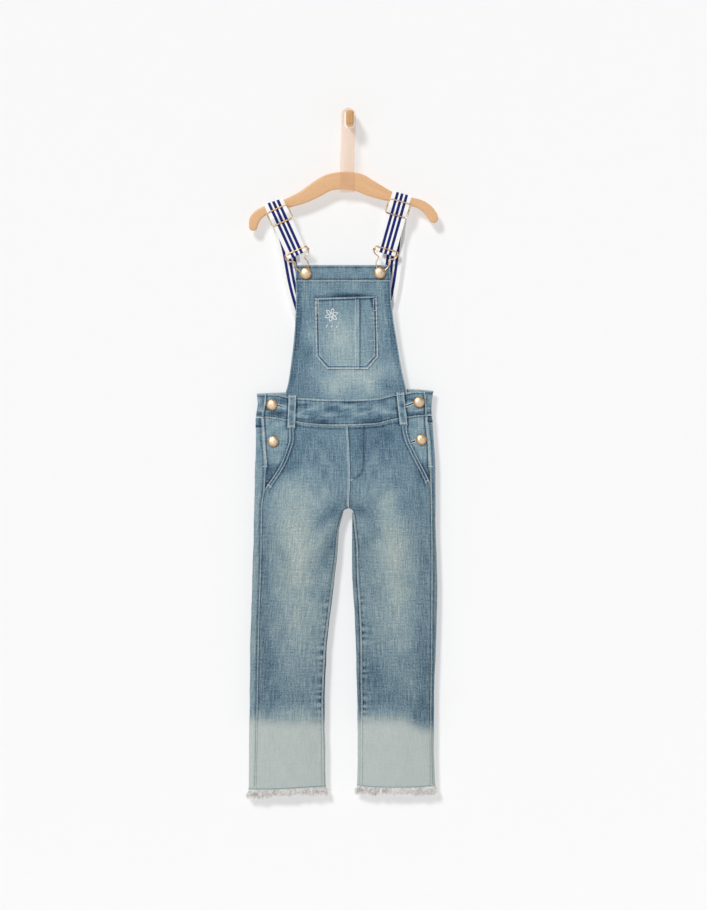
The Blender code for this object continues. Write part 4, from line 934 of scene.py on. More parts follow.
LOOPS = {
    "belt_loop_front_right": (front_spot, -86.2, -88.0, -414.6, -464.5),
    "belt_loop_front_left": (front_spot, 75.0, 80.4, -410.6, -460.0),
    "belt_loop_back_right": (back_spot, -62.0, -62.0, -408.4, -455.6),
    "belt_loop_back_left": (back_spot, 52.0, 52.0, -405.4, -453.0),
}


def loop_spot(name, across, share, inward=0.0):
    place, top_x, foot_x, top_z, foot_z = LOOPS[name]
    x, z = mix(top_x, foot_x, share), mix(top_z, foot_z, share)
    lift = DENIM + LAYER + 0.9 * np.sin(math.pi * share)
    return place(x + across, z + 0.0 * across, inward - lift)


def belt_loop(name, material):
    share = np.linspace(0.0, 1.0, 34)[:, None]
    across = np.linspace(-LOOP_HALF_WIDE, LOOP_HALF_WIDE, 12)[None, :]
    edge = LOOP_HALF_WIDE - np.abs(across)
    lift = 0.28 * smooth(edge / 1.6) - 0.22 * bell(across, 1.1) + 0.10 * waves(share * 46.0, across, 98, 8.0)
    lift = lift * smooth(share / 0.05) * smooth((1 - share) / 0.05)
    # Pale rubbed edges, and painted shade down the groove in the middle.
    wear_and_shading = 0.02 + 0.34 * bell(edge, 0.9) - 0.18 * bell(across, 1.6)
    wear_and_shading = wear_and_shading + 0.18 * bell(np.minimum(share, 1 - share), 0.03) + 0.06 * waves(share * 46.0, across, 99, 12.0)
    shell(name, faces_at(partial(loop_spot, name), across, share, lift), material, wear_and_shading=wear_and_shading,
          cut=loop_spot(name, across, share))


# ---------------------------------------------------------------------------------------------- thread


def strands(paths, refs, radii, sides, closed=False):
    """Points and faces of round strands, one for each row of paths; refs points out of the cloth they lie on."""
    paths = np.asarray(paths, float)
    count, rings = paths.shape[:2]
    ahead = np.roll(paths, -1, 1) - np.roll(paths, 1, 1) if closed else np.gradient(paths, axis=1)
    tangent = unit(ahead)
    refs = np.broadcast_to(np.asarray(refs, float), paths.shape)
    across = unit(np.cross(tangent, refs))
    up = np.cross(across, tangent)
    angle = np.arange(sides) * 2 * math.pi / sides
    round_ = across[:, :, None] * np.cos(angle)[:, None] + up[:, :, None] * np.sin(angle)[:, None]
    points = paths[:, :, None] + round_ * np.broadcast_to(radii, (count, rings))[..., None, None]
    index = np.arange(count * rings * sides).reshape(count, rings, sides)
    a = index if closed else index[:, :-1]
    b = np.roll(index, -1, 1) if closed else index[:, 1:]
    quads = np.stack((a, b, np.roll(b, -1, 2), np.roll(a, -1, 2)), -1).reshape(-1, 4).tolist()
    if not closed:
        quads += index[:, 0].tolist() + index[:, -1, ::-1].tolist()
    return points.reshape(-1, 3), quads


def joined(parts):
    """Several (points, faces) as one."""
    points, faces, shift = [], [], 0
    for part_points, part_faces in parts:
        points.append(part_points)
        faces += [[i + shift for i in face] for face in part_faces]
        shift += len(part_points)
    return np.concatenate(points), faces


def resampled(points, at):
    """Points along a line at those lengths from its start."""
    length = np.concatenate(([0.0], np.cumsum(np.linalg.norm(np.diff(points, axis=0), axis=1))))
    return np.stack([np.interp(at, length, points[:, i]) for i in range(3)], -1)


def line_length(points):
    return np.linalg.norm(np.diff(points, axis=0), axis=1).sum()


STITCH = 3.3
THREAD = 0.32


def stitches(points, outs, pitch=STITCH, thread=THREAD):
    """One row of lockstitch: short humps of thread that dip into the cloth at each end."""
    total = line_length(points)
    number = max(1, round(total / pitch))
    share = np.array([0.08, 0.3, 0.7, 0.92])
    at = ((np.arange(number)[:, None] + share) * total / number)
    length = np.concatenate(([0.0], np.cumsum(np.linalg.norm(np.diff(points, axis=0), axis=1))))
    where = np.stack([np.interp(at, length, points[:, i]) for i in range(3)], -1)
    out = unit(np.stack([np.interp(at, length, outs[:, i]) for i in range(3)], -1))
    rise = np.array([-0.15, 0.16, 0.16, -0.15])[None, :, None]
    return strands(where + out * rise, out, thread * np.array([0.7, 1.0, 1.0, 0.7]), 5)


def on_trousers(side, k, z, over=0.0):
    """Points on the rumpled trousers, and the way out of them."""
    k, z = grids(k, z)
    out = facing_out(side, k, z)
    lift = rumple(side, k, z)[0] + over
    return skin(side, k, z) + out * lift[..., None], out


def on_front(x, z, over=0.0):
    base = front_spot(x, z, -over)
    return base, unit(base - front_spot(x, z, 1.0 - over))


def steps(start, end, pitch=3.0):
    return np.linspace(start, end, max(2, int(abs(end - start) / pitch) + 1))


def trouser_rows(side):
    """Rows of topstitching on one trouser half, pale rows first and then the ones in the cloth's own blue."""
    pale, blue = [], []
    top = hung(float(read(POCKET_EDGE, side, -450.0)), PANEL_TOP) - 1.5
    z = steps(top, POCKET_END[side] + 1.0)
    for inset in (1.5, 6.2):
        x = read(POCKET_EDGE, side, z) + toward_centre(side, inset)
        pale.append(on_trousers(side, k_at(side, x, z), z, 0.62))
    if side == "right":
        z = steps(float(hung(-6.0, PANEL_TOP)) - 1.5, CROTCH + 4.0)
        pale.append(on_trousers(side, k_at(side, read(CENTRE, "x", z) - 1.9, z), z, 0.12))
    else:
        for inset in (0.0, 2.4):
            curve = np.linspace(0.0, QUARTER, 12)
            z_line = np.concatenate((steps(-463.0, -520.0), -520.0 - (22.0 - inset) * np.sin(curve)))
            x_line = np.concatenate((np.full(len(steps(-463.0, -520.0)), 21.5 - inset), (21.5 - inset) * np.cos(curve)))
            keep = x_line > read(CENTRE, "x", z_line) + 1.0
            blue.append(on_trousers(side, k_at(side, x_line[keep], z_line[keep]), z_line[keep], 0.14))
    z = steps(-462.0, CROTCH + 4.0)
    for inset in (1.9, 5.0):
        x = read(CENTRE, "x", z) - toward_centre(side, inset)
        if side == "left":
            low = z < YOKE_CENTRE - 4.0
            pale.append(on_trousers(side, (2.0 - k_at(side, x, z))[low], z[low], 0.1))
    z = steps(OPENING_END - 4.0, HEM[side] + 6.0)
    cut = section(side, z)
    seam = k_at(side, read(SIDE_SEAM, side, z), z)
    blue.append(on_trousers(side, seam + 2.0 / cut["length"], z, 0.5))
    z = steps(CROTCH - 8.0, HEM[side] + 6.0)
    cut = section(side, z)
    inseam = 2.0 + read(INSEAM, side, z) / cut["length"]
    pale.append(on_trousers(side, inseam - 2.0 / cut["length"], z, 0.55))
    share = np.linspace(0.0, 1.0, 60)
    k = mix(1.04, 1.96, share)
    for inset in (1.8, 5.4):
        pale.append(on_trousers(side, k, yoke_z(side, k) + inset, 0.55))
    return pale, blue


def hem_row(side):
    """The line of thread that stops the raw hem from fraying further, all the way round the leg."""
    k = np.linspace(0.0, 2.0, 150)
    return on_trousers(side, k, hem_z(side, k) + 1.7, 0.05)


def front_band_rows():
    rows = []
    right, left = float(read(SIDE_SEAM, "right", -430.0)) + 1.8, float(read(SIDE_SEAM, "left", -430.0)) - 1.8
    x = steps(right, left)
    for edge, inset in (("top", -1.8), ("bottom", 1.8)):
        rows.append(on_front(x, read(BAND_FRONT, edge, x) + inset, 0.12))
    for end in (right, left):
        z = steps(float(read(BAND_FRONT, "top", end)) - 2.0, float(read(BAND_FRONT, "bottom", end)) + 2.0)
        side = "right" if end < 0 else "left"
        rows.append(on_front(read(SIDE_SEAM, side, z) + toward_centre(side, 1.8), z, 0.12))
    return rows


def back_band_rows():
    rows = []
    for side in SIDES:
        k = np.linspace(1.0, 1.99, 60)
        x = skin(side, k, -430.0)[..., 0]
        for edge, inset in (("top", -2.0), ("bottom", 2.0)):
            z = read(BAND_BACK, edge, x) + inset
            out = facing_out(side, k, z)
            rows.append((skin(side, k, z) + out * 0.15, out))
    return rows


def facing_row(side):
    z = steps(float(hung(float(read(SIDE_SEAM, side, -450.0)), PANEL_TOP)) - 1.0, OPENING_END - 1.0)
    x = read(SIDE_SEAM, side, z) + toward_centre(side, 1.9)
    return on_front(x, z, 0.42 - facing_level(side, x, z))


def facing_you(points):
    """Points on the flat bib, and the way out of it."""
    return points, np.broadcast_to((0.0, -1.0, 0.0), points.shape)


def waist_row():
    """The row in the cloth's own blue along the waistband's foot."""
    x = steps(float(read(SIDE_SEAM, "right", -440.0)) + 4.0, float(read(SIDE_SEAM, "left", -440.0)) - 4.0)
    return on_front(x, read(BAND_FRONT, "bottom", x) + 7.0, 0.16)


def bib_side_rows():
    rows = []
    z = steps(BIB_TOP - BIB_HEM - 1.0, -418.0, 2.0)
    for edge in (0, 1):
        across = np.abs(edge - 5.4 / (read(BIB, "left", z) - read(BIB, "right", z)))
        rows.append(facing_you(bib_spot(across, z, -(bib_rumple(across, z)[0] + 0.05))))
    return rows


def bib_hem_rows():
    across = np.linspace(0.012, 0.988, 60)
    return [facing_you(bib_spot(across, z, -(DENIM + SEAM) - 0.2)) for z in (BIB_TOP - 1.8, BIB_TOP - BIB_HEM + 1.9)]


def on_pocket(x, z, over=0.0):
    """A point on the patch pocket at x."""
    x, z = grids(x, z)
    across = (x - POCKET_MIDDLE - (z - POCKET_TOP) * POCKET_LEAN) / pocket_half(z)
    return facing_you(pocket_place(across, z, -0.2 - over))


def pocket_rows():
    rows = []
    for inset in (1.5, 5.0):
        half, foot = POCKET_HALF - inset, POCKET_FOOT + inset
        corner = POCKET_CORNER + inset * 0.35
        level = POCKET_TOP - 2.0
        outline = [(-half, level), (-half, corner), (-half + POCKET_CHAMFER, foot), (half - POCKET_CHAMFER, foot),
                   (half, corner), (half, level)]
        for (x0, z0), (x1, z1) in zip(outline, outline[1:]):
            t = np.linspace(0.0, 1.0, 24)
            z = mix(z0, z1, t)
            rows.append(on_pocket(mix(x0, x1, t) + POCKET_MIDDLE + (z - POCKET_TOP) * POCKET_LEAN, z))
    x = np.linspace(-43.0, 43.0, 40)
    rows.append(on_pocket(x + POCKET_MIDDLE, POCKET_TOP + POCKET_TILT * x / POCKET_HALF - 1.6))
    for x in (STRIP[0] + 1.6, STRIP[1] - 1.6):
        z = steps(POCKET_TOP - 3.0, POCKET_FOOT + 2.0)
        rows.append(on_pocket(x + 0.0 * z, z, 0.5))
    return rows


def on_loop(name, across, share, over):
    points = loop_spot(name, across, share, -over)
    return points, unit(points - loop_spot(name, across, share, 1.0))


def loop_rows(name):
    share = np.linspace(0.03, 0.97, 18)
    return [on_loop(name, across, share, 0.28) for across in (-4.3, 4.3)]


def tack(points, outs, wide=1.5, pitch=0.75):
    """A bartack: close stitches across a short line."""
    total = line_length(points)
    at = np.linspace(0.0, total, max(3, int(total / pitch)))
    middle, out = resampled(points, at), unit(resampled(outs, at))
    along = unit(points[-1] - points[0])
    side = unit(np.cross(out, along)) * wide
    share = np.array([-0.5, -0.25, 0.25, 0.5])[None, :, None]
    slant = along * 0.4 * np.array([-1, -0.5, 0.5, 1])[None, :, None]
    lift = out[:, None] * np.array([-0.1, 0.3, 0.3, -0.1])[None, :, None]
    return strands(middle[:, None] + side[:, None] * share + slant + lift, out[:, None], 0.3, 4)


def short(place, x0, z0, x1, z1, over, count=6):
    """A short line on a surface, as points and the way out."""
    t = np.linspace(0.0, 1.0, count)
    return place(mix(x0, x1, t), mix(z0, z1, t), over)


def bartack(place, x0, z0, x1, z1, over=0.1, **how):
    return tack(*short(place, x0, z0, x1, z1, over), **how)


def buttonhole(x0, z0, x1, z1, over):
    """Close stitches round a slit, from one end to the other."""
    parts = []
    along = np.array([x1 - x0, z1 - z0]) / math.hypot(x1 - x0, z1 - z0)
    for shift in (-1.7, 1.7):
        x, z = along[::-1] * (-shift, shift)
        parts.append(bartack(on_front, x0 + x, z0 + z, x1 + x, z1 + z, over, wide=1.3, pitch=0.65))
    parts.append(bartack(on_front, x1 - along[1], z1 + along[0], x1 + along[1], z1 - along[0], over, wide=1.4))
    return parts


def strand(line, radii, sides=8, closed=False):
    """One round strand along a line, given as points and the way out."""
    points, outs = line
    return strands(points[None], outs[None], radii, sides, closed)


def slit(x0, z0, x1, z1, over):
    """A dark strand of painted shade in the line between a buttonhole's stitches."""
    line = short(on_front, x0, z0, x1, z1, over - 0.1, count=9)
    return strand(line, 0.95 * np.sin(np.linspace(0.15, math.pi - 0.15, 9)), 6)


# Buttonholes from x and z to x and z, and how far they lie above the front
HOLES = (
    (-109.0, -430.0, -97.0, -434.4, 0.2), (83.6, -431.2, 95.4, -427.0, 0.2), (92.4, -485.6, 98.6, -483.3, -UNDER + 0.2),
)


def seam_ends():
    """Bartacks where a seam or a pocket mouth ends."""
    parts = []
    for side in SIDES:
        sign = 1 if side == "left" else -1
        end = POCKET_END[side]
        edge = float(read(POCKET_EDGE, side, end + 6.0))
        parts.append(bartack(on_front, edge - sign * 1.0, end + 7.0, edge - sign * 6.0, end + 3.0, 0.7))
        seam, low = float(read(SIDE_SEAM, side, OPENING_END)), OPENING_END - 1.0
        parts.append(bartack(on_front, seam + sign * 4.0, low, seam - sign * 2.5, low, 0.55))
    parts.append(bartack(on_front, -3.0, -571.0, -3.2, -582.0, 0.3))
    parts.append(bartack(on_front, -0.5, -542.5, 5.0, -541.5, 0.4))
    across = np.linspace(-4.8, 4.8, 8)
    parts += [tack(*on_loop(name, across, share, 0.35), wide=1.6) for name in LOOPS for share in (0.06, 0.94)]
    # On the patch pocket: x and the drop below its top, twice, how wide and how close
    for x0, top, x1, foot, wide, pitch in ((-50.0, 3.0, -49.6, 24.0, 3.6, 1.5), (35.6, 20.0, 38.4, 20.0, 1.6, 0.75),
                                           (37.0, 2.0, 39.4, 2.0, 2.0, 0.75)):
        parts.append(bartack(on_pocket, x0, POCKET_TOP - top, x1, POCKET_TOP - foot, wide=wide, pitch=pitch))
    return parts


def daisy(middle_x, middle_z, petals=6, reach=9.0, wide=2.6):
    """A plain lazy-daisy flower with a knot at its middle and three seed stitches under it."""
    parts = []
    turn = np.linspace(0.0, 2 * math.pi, 26)[:-1]
    along = 2.2 + (reach - 2.2) * (1 - np.cos(turn)) / 2
    across = wide * np.sin(turn) * (0.55 + 0.45 * (1 - np.cos(turn)) / 2)
    tip = reach + np.array([-0.4, 0.6, 1.8])
    for i in range(petals):
        a = math.radians(18.0) + i * 2 * math.pi / petals
        x = middle_x + along * math.cos(a) - across * math.sin(a)
        z = middle_z + along * math.sin(a) + across * math.cos(a)
        parts.append(strand(on_pocket(x, z, 0.4), 0.52, closed=True))
        parts.append(strand(on_pocket(middle_x + tip * math.cos(a), middle_z + tip * math.sin(a), 0.45), 0.45))
    turns = np.linspace(0.0, 5 * math.pi, 46)
    parts.append(strand(on_pocket(middle_x + 1.15 * np.cos(turns), middle_z + 1.15 * np.sin(turns), 0.7), 0.5))
    for shift, tilt in ((-7.0, 0.5), (0.5, 0.0), (8.0, -0.5)):
        x = middle_x + shift + 0.6 * np.linspace(-1, 1, 5) * (1 + abs(tilt))
        z = middle_z - 17.0 + 2.0 * np.linspace(-1, 1, 5) * (1 if tilt else 0.9) + tilt
        parts.append(strand(on_pocket(x, z, 0.35), 0.62 * np.array([0.6, 1, 1, 1, 0.6])))
    return parts


# ---------------------------------------------------------------------------------------------- frayed hems

FRAY = 1500
FRAY_DROP = (5.5, 12.5)


def fringe(side, material):
    """Loose warp ends below the hem line: soft, uneven and slightly flared, with a few cross threads held in them."""
    chance = np.random.default_rng(5 if side == "right" else 6)
    k = chance.uniform(0.0, 2.0, FRAY)
    drop = chance.uniform(*FRAY_DROP, FRAY) * (1 + 0.16 * waves(k * 140.0, 0.0, 111, 18.0))
    top = hem_z(side, k) + 0.4
    root = skin(side, k, top)
    out = facing_out(side, k, top)
    depth = chance.uniform(-DENIM, 0.1, FRAY)
    root = root + out * depth[:, None]
    cut = section(side, HEM[side])
    middle = cut["inner"] + cut["sign"] * cut["width"] / 2
    t = np.linspace(0.0, 1.0, 6)[None, :, None]
    flare = np.stack(((root[:, 0] - middle) * 0.05, out[:, 1] * 0.8, 0.0 * drop), -1)
    stray = chance.normal(0.0, 1.0, (FRAY, 3)) * (1.4, 0.9, 0.0)
    curl = chance.normal(0.0, 0.9, (FRAY, 3)) * (1.0, 0.7, 0.2)
    paths = root[:, None] + (flare + stray)[:, None] * t**1.4 + curl[:, None] * np.sin(math.pi * t * 1.6) * t
    paths[..., 2] -= drop[:, None] * t[..., 0]
    parts = [strands(paths, (0.0, -1.0, 0.2), 0.27 * np.array([1.0, 1.0, 0.95, 0.9, 0.8, 0.5]), 4)]
    loose = 150
    start = chance.uniform(0.0, 2.0, loose)
    reach = chance.uniform(6.0, 18.0, loose) / float(cut["length"]) * chance.choice((-1, 1), loose)
    t = np.linspace(0.0, 1.0, 7)
    k = start[:, None] + reach[:, None] * t
    fall = chance.uniform(1.5, 8.0, loose)[:, None] + chance.normal(0.0, 1.2, (loose, 1)) * np.sin(3 * t)[None]
    z = hem_z(side, k)
    points = skin(side, k, z) + facing_out(side, k, z) * chance.uniform(-0.8, 0.7, loose)[:, None, None]
    points[..., 2] -= np.maximum(fall, 0.5)
    parts.append(strands(points, (0.0, 0.3, 1.0), 0.24, 4))
    points, faces = joined(parts)
    made = finished(f"fringe_{side}_threads", points, faces, material, "frayed_cotton")
    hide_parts(f"fringe_{side}")
    return made


# ---------------------------------------------------------------------------------------------- braces


def threaded(start, stops, end=None, last_turn=None, bend=32.0):
    """Middle line of a band led round bars. Places are (along, depth); each stop adds a radius, negative where the
    band turns left round it. Gives (along, depth, direction) for points on the arcs, joined by straight runs."""
    circles = [(*start, 0.0), *stops] + ([(*end, 0.0)] if end else [])
    headings = []
    for (p0, q0, r0), (p1, q1, r1) in zip(circles, circles[1:]):
        reach = math.hypot(p1 - p0, q1 - q0)
        headings.append(math.atan2(q1 - q0, p1 - p0) - math.asin((r0 - r1) / reach))
    path = [(*start, headings[0])]
    for i, (p, q, radius) in enumerate(circles[1:], 1):
        if radius == 0.0:
            path.append((p, q, headings[-1]))
            continue
        arriving = headings[i - 1]
        leaving = headings[i] if i < len(headings) else arriving + last_turn
        turn = (leaving - arriving + math.pi) % (2 * math.pi) - math.pi
        if radius < 0 and turn < -0.6:
            turn += 2 * math.pi
        count = max(1, math.ceil(abs(turn) / math.radians(bend)))
        for heading in np.linspace(arriving, arriving + turn, count + 1):
            path.append((p - radius * math.sin(heading), q + radius * math.cos(heading), heading))
    return path


def brace_frame(side, along, back):
    """Where the brace's middle lies that far along its front or back run, and its lean."""
    brace = BRACES[side]
    if back:
        x = float(read(BACK_RUN[side], "x", along))
        ahead = float(read(BACK_RUN[side], "x", along + 4.0) - read(BACK_RUN[side], "x", along - 4.0))
        inside = 4.0 < along < BACK_RUN[side]["drop"][-1] - 4.0
        run = math.atan2(ahead, 8.0 if inside else 4.0)
        z = brace["z"] - along
    else:
        run = math.radians(brace["lean"])
        x = brace["x"] + math.sin(run) * along
        z = brace["z"] - math.cos(run) * along
    lean = mix(math.radians(brace["fold"]), run, float(smooth((along - 4.0) / 7.0)))
    return x, z, lean


def brace_point(side, along, depth, across):
    x, z, lean = brace_frame(side, along, False)
    return np.array([x + across * math.cos(lean), depth, z + across * math.sin(lean)])


def brace_path(side):
    """The webbing's line: up the back, over the hanger, down through the slider, round the clip's bar and back up
    behind itself to the slider's middle bar. Ends with the run along the webbing."""
    bar_end = BRACES[side]["length"] - CLIP_REACH
    corner = HANGER_EDGE + SEAM + WEB / 2
    one = WEB / 2 + SEAM
    two = one + WEB + SEAM
    top, middle, bottom = SLIDER_BARS
    foot = float(BACK_RUN[side]["drop"][-1])
    stops = [
        (WEB / 2 + corner, HANGER_BACK - HANGER_EDGE, -corner),
        (WEB / 2 + corner, HANGER_FRONT + HANGER_EDGE, -corner),
        (top, SLIDER_PLANE, SLIDER_WIRE + one),
        (middle, SLIDER_PLANE, -(SLIDER_WIRE + two)),
        (bottom, SLIDER_PLANE, SLIDER_WIRE + one),
        (bar_end, CLIP_PLANE, CLIP_WIRE + one),
        (bar_end + CLIP_BAR, CLIP_PLANE, -(CLIP_WIRE + one)),
        (bar_end, CLIP_PLANE, -(CLIP_WIRE + two)),
        (bottom, SLIDER_PLANE, -(SLIDER_WIRE + two)),
        (middle, SLIDER_PLANE, -(SLIDER_WIRE + one)),
    ]
    path = threaded((foot, BRACE_FOOT), stops, last_turn=math.radians(160), bend=14.0)
    over = next(i for i, step in enumerate(path) if math.cos(step[2]) > -0.3)
    line = []
    for along in np.linspace(foot, 20.0, 90)[:-1]:
        share = (foot - along) / (foot - path[1][0])
        line.append((along, mix(BRACE_FOOT, path[1][1], share), path[0][2], True))
    rest = [(*step, i < over) for i, step in enumerate(path)][1:]
    dense = [rest[0]]
    for a, b in zip(rest, rest[1:]):
        gap = math.hypot(b[0] - a[0], b[1] - a[1])
        count = max(1, int(gap / 3.0)) if a[3] == b[3] else 1
        for n in range(1, count + 1):
            t = n / count
            dense.append((mix(a[0], b[0], t), mix(a[1], b[1], t), mix(a[2], b[2], t), b[3]))
    return line + dense


WEB_COLUMNS = 16


def strap(side, material):
    """Striped webbing, 30 mm wide, in one length; its grain runs across in u and along in v."""
    path = brace_path(side)
    across = np.linspace(-WEB_WIDTH / 2, WEB_WIDTH / 2, WEB_COLUMNS)
    outer, inner, run, before = [], [], [0.0], None
    for along, depth, heading, back in path:
        for grid, off in ((outer, 1), (inner, -1)):
            row = []
            for a in across:
                thin = WEB / 2 * (1 - 0.45 * float(smooth((abs(a) - 13.6) / 1.4)))
                p = along - off * thin * math.sin(heading)
                q = depth + off * thin * math.cos(heading)
                x, z, lean = brace_frame(side, along, back)
                down = p - along
                c, s = math.cos(lean), math.sin(lean)
                row.append((x + a * c + down * s, q, z + a * s - down * c))
            grid.append(row)
        if before is not None:
            run.append(run[-1] + math.hypot(along - before[0], depth - before[1]))
        before = (along, depth)
    outer, inner = np.array(outer), np.array(inner)
    rows = len(path)
    faces = wall_faces(rows, WEB_COLUMNS)
    if not outward(outer[:20], (outer - inner)[:20].mean(axis=(0, 1))):
        faces = faces[:, ::-1]
    grain = np.stack(np.broadcast_arrays(across[None, :], np.array(run)[:, None]), -1).reshape(-1, 2) * MM
    made = finished(f"strap_{side}_webbing", stacked(outer, inner), faces.tolist(),
                    material, "webbing", None, np.concatenate((grain, grain)))
    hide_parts(f"strap_{side}")


def wire(kind, side, ring, bar_at, bar_half, plane, radius, material):
    """A round wire bent to a ring, with a bar across it. The ring's places are across and along the brace."""
    bar = [brace_point(side, bar_at, plane, across) for across in np.linspace(-bar_half, bar_half, 8)]
    lines = (([brace_point(side, along, plane, across) for across, along in ring], True), (bar, False))
    points, faces = joined([
        strands(np.asarray(line)[None], (0.0, -1.0, 0.0), radius * (1.0 if closed else 0.97), 14, closed)
        for line, closed in lines])
    wear_and_shading = 0.55 + 0.16 * waves(points[:, 0], points[:, 2], 12, 7.0)
    node = f"{kind}_{side}"
    made = finished(f"{node}_wire", points, faces, material, "brass", {"wear_and_shading": wear_and_shading}, angle=70.0)
    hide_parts(node)


def round_rectangle(half_wide, low, high, corner, count):
    """Points round a rectangle with rounded corners, from its right side by way of its high side."""
    points = []
    high, low = high - corner, low + corner
    for side, level, start in ((1, high, 0), (-1, high, 90), (-1, low, 180), (1, low, 270)):
        for turn in np.radians(np.linspace(start, start + 90, count)):
            points.append((side * (half_wide - corner) + corner * math.cos(turn), level + corner * math.sin(turn)))
    return points


def slider(side, material):
    top, middle, bottom = SLIDER_BARS
    ring = round_rectangle(SLIDER_HALF, top, bottom, 3.2, 12)
    wire("slider", side, ring, middle, SLIDER_HALF, SLIDER_PLANE, SLIDER_WIRE, material)


def bent(a, b, c, d, count):
    """Smooth spans from each point of b to the one in c, with a before them and d after, as that many points each."""
    t = np.linspace(0.0, 1.0, count, endpoint=False)[None, :, None]
    a, b, c, d = a[:, None], b[:, None], c[:, None], d[:, None]
    curve = 0.5 * (2 * b + (c - a) * t + (2 * a - 5 * b + 4 * c - d) * t**2 + (3 * b - a - 3 * c + d) * t**3)
    return curve.reshape(-1, b.shape[-1])


def rounded(points, count):
    """A closed smooth curve through points."""
    points = np.asarray(points, float)
    return bent(np.roll(points, 1, 0), points, np.roll(points, -1, 0), np.roll(points, -2, 0), count)


def clip(side, material):
    end = BRACES[side]["length"] - CLIP_REACH
    half = list(zip(CLIP["across"], CLIP["down"]))
    loop = rounded(half + [(-across, down) for across, down in half[-2:0:-1]], 6)
    ring = [(across, end + down) for across, down in loop]
    wire("clip", side, ring, end + CLIP_BAR, CLIP_END, CLIP_PLANE, CLIP_WIRE, material)
    # Both ends of the bar are wound twice round the loop
    turn = np.linspace(0.0, 5 * math.pi, 60)
    coils = []
    for sign in (-1, 1):
        across, down = sign * (CLIP_END + 0.15) + 0.0 * turn, CLIP_BAR + np.linspace(-1.3, 1.3, 60)
        coil = [brace_point(side, end + d, CLIP_PLANE + COIL * math.sin(t), a + COIL * math.cos(t))
                for a, d, t in zip(across, down, turn)]
        coils.append(strands(np.array(coil)[None], (0.0, 0.0, 1.0), 0.5, 8))
    points, faces = joined(coils)
    finished(f"clip_{side}_winding", points, faces, material, "brass", {"wear_and_shading": np.full(len(points), 0.35)})


BUTTON_PROFILE = (
    (0.0, 3.5), (0.14, 3.49), (0.3, 3.42), (0.46, 3.26), (0.6, 2.98), (0.72, 2.6), (0.8, 2.22), (0.845, 1.92),
    (0.87, 1.86), (0.90, 1.94), (0.945, 1.78), (0.985, 1.32), (1.0, 0.8), (0.985, 0.3), (0.93, 0.02),
)


def button(name, place, out, radius, stem, material):
    """A domed cap with a beaded rim on a stem, turned about its own axis, which points out of the cloth."""
    profile = [(radius * r, h) for r, h in BUTTON_PROFILE] + [(SHANK, 0.0), (SHANK, -stem), (0.0, -stem)]
    count = 48
    frame_ = Vector(out).to_track_quat("Z", "Y").to_matrix()
    right, up = np.array(frame_.col[0]), np.array(frame_.col[1])
    out = np.array(frame_.col[2])
    points, faces = [place + out * profile[0][1]], []
    for r, h in profile[1:-1]:
        for i in range(count):
            a = 2 * math.pi * i / count
            points.append(place + (right * math.cos(a) + up * math.sin(a)) * r + out * h)
    points.append(place + out * profile[-1][1])
    last = len(points) - 1
    rings = len(profile) - 2
    for i in range(count):
        j = (i + 1) % count
        faces.append((0, 1 + i, 1 + j))
        faces.append((last, last - count + j, last - count + i))
        for r in range(rings - 1):
            a, b = 1 + r * count, 1 + (r + 1) * count
            faces.append((a + i, b + i, b + j, a + j))
    away = np.linalg.norm(np.asarray(points) - place, axis=-1) / radius
    # Painted highlight on the dome's middle, and painted shade towards its rim.
    wear_and_shading = 0.82 - 0.56 * smooth((away - 0.6) / 0.42)
    turned = finished(f"{name}_cap", points, faces, material, "brass", {"wear_and_shading": wear_and_shading}, angle=50.0)
    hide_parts(name)


def cloth_button(name, material):
    x, z, radius = BUTTONS[name]
    side = "right" if x < 0 else "left"
    level = float(facing_level(side, x, z)) if z < -460.0 else 0.0
    under = front_spot(x, z, level)
    out = unit(front_spot(x, z, level - 1.0) - under)
    button(f"button_{name}", under + out * (SEAM + STEM), out, radius, STEM, material)


def bib_button(side, material):
    place = brace_point(side, BRACES[side]["length"], CLIP_PLANE - CLIP_WIRE - SEAM, 0.0)
    button(f"button_bib_{side}", place, (0.0, -1.0, 0.0), BIB_BUTTON, 2.0, material)


# ---------------------------------------------------------------------------------------------- hanger


def lofted(name, node, rings, material, slot, grain):
    """A solid through closed rings with the same number of points; grain is a place along and round for each ring."""
    rings = np.asarray(rings)
    count, sides = rings.shape[:2]
    index = np.arange(count * sides).reshape(count, sides)
    a, b = index[:-1], index[1:]
    faces = np.stack((a, b, np.roll(b, -1, 1), np.roll(a, -1, 1)), -1).reshape(-1, 4)
    middle, first = rings[count // 2].mean(axis=0), rings[count // 2]
    normal = np.cross(rings[count // 2 + 1][0] - first[0], first[1] - first[0])
    if np.dot(normal, first[0] - middle) < 0:
        faces = faces[:, ::-1]
        ends = [index[0].tolist(), index[-1, ::-1].tolist()]
    else:
        ends = [index[0, ::-1].tolist(), index[-1].tolist()]
    grain = grain.reshape(-1, 2) * MM
    made = finished(name, rings.reshape(-1, 3), faces.tolist() + ends, material, slot, None, grain, 50.0)
    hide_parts(node)
    return made


def open_curve(points, count):
    """A smooth open curve through rows of numbers."""
    points = np.asarray(points, float)
    first, last = 2 * points[0] - points[1], 2 * points[-1] - points[-2]
    padded = np.concatenate((first[None], points, last[None]))
    return np.concatenate((bent(padded[:-3], padded[1:-2], padded[2:-1], padded[3:], count), points[-1:]))


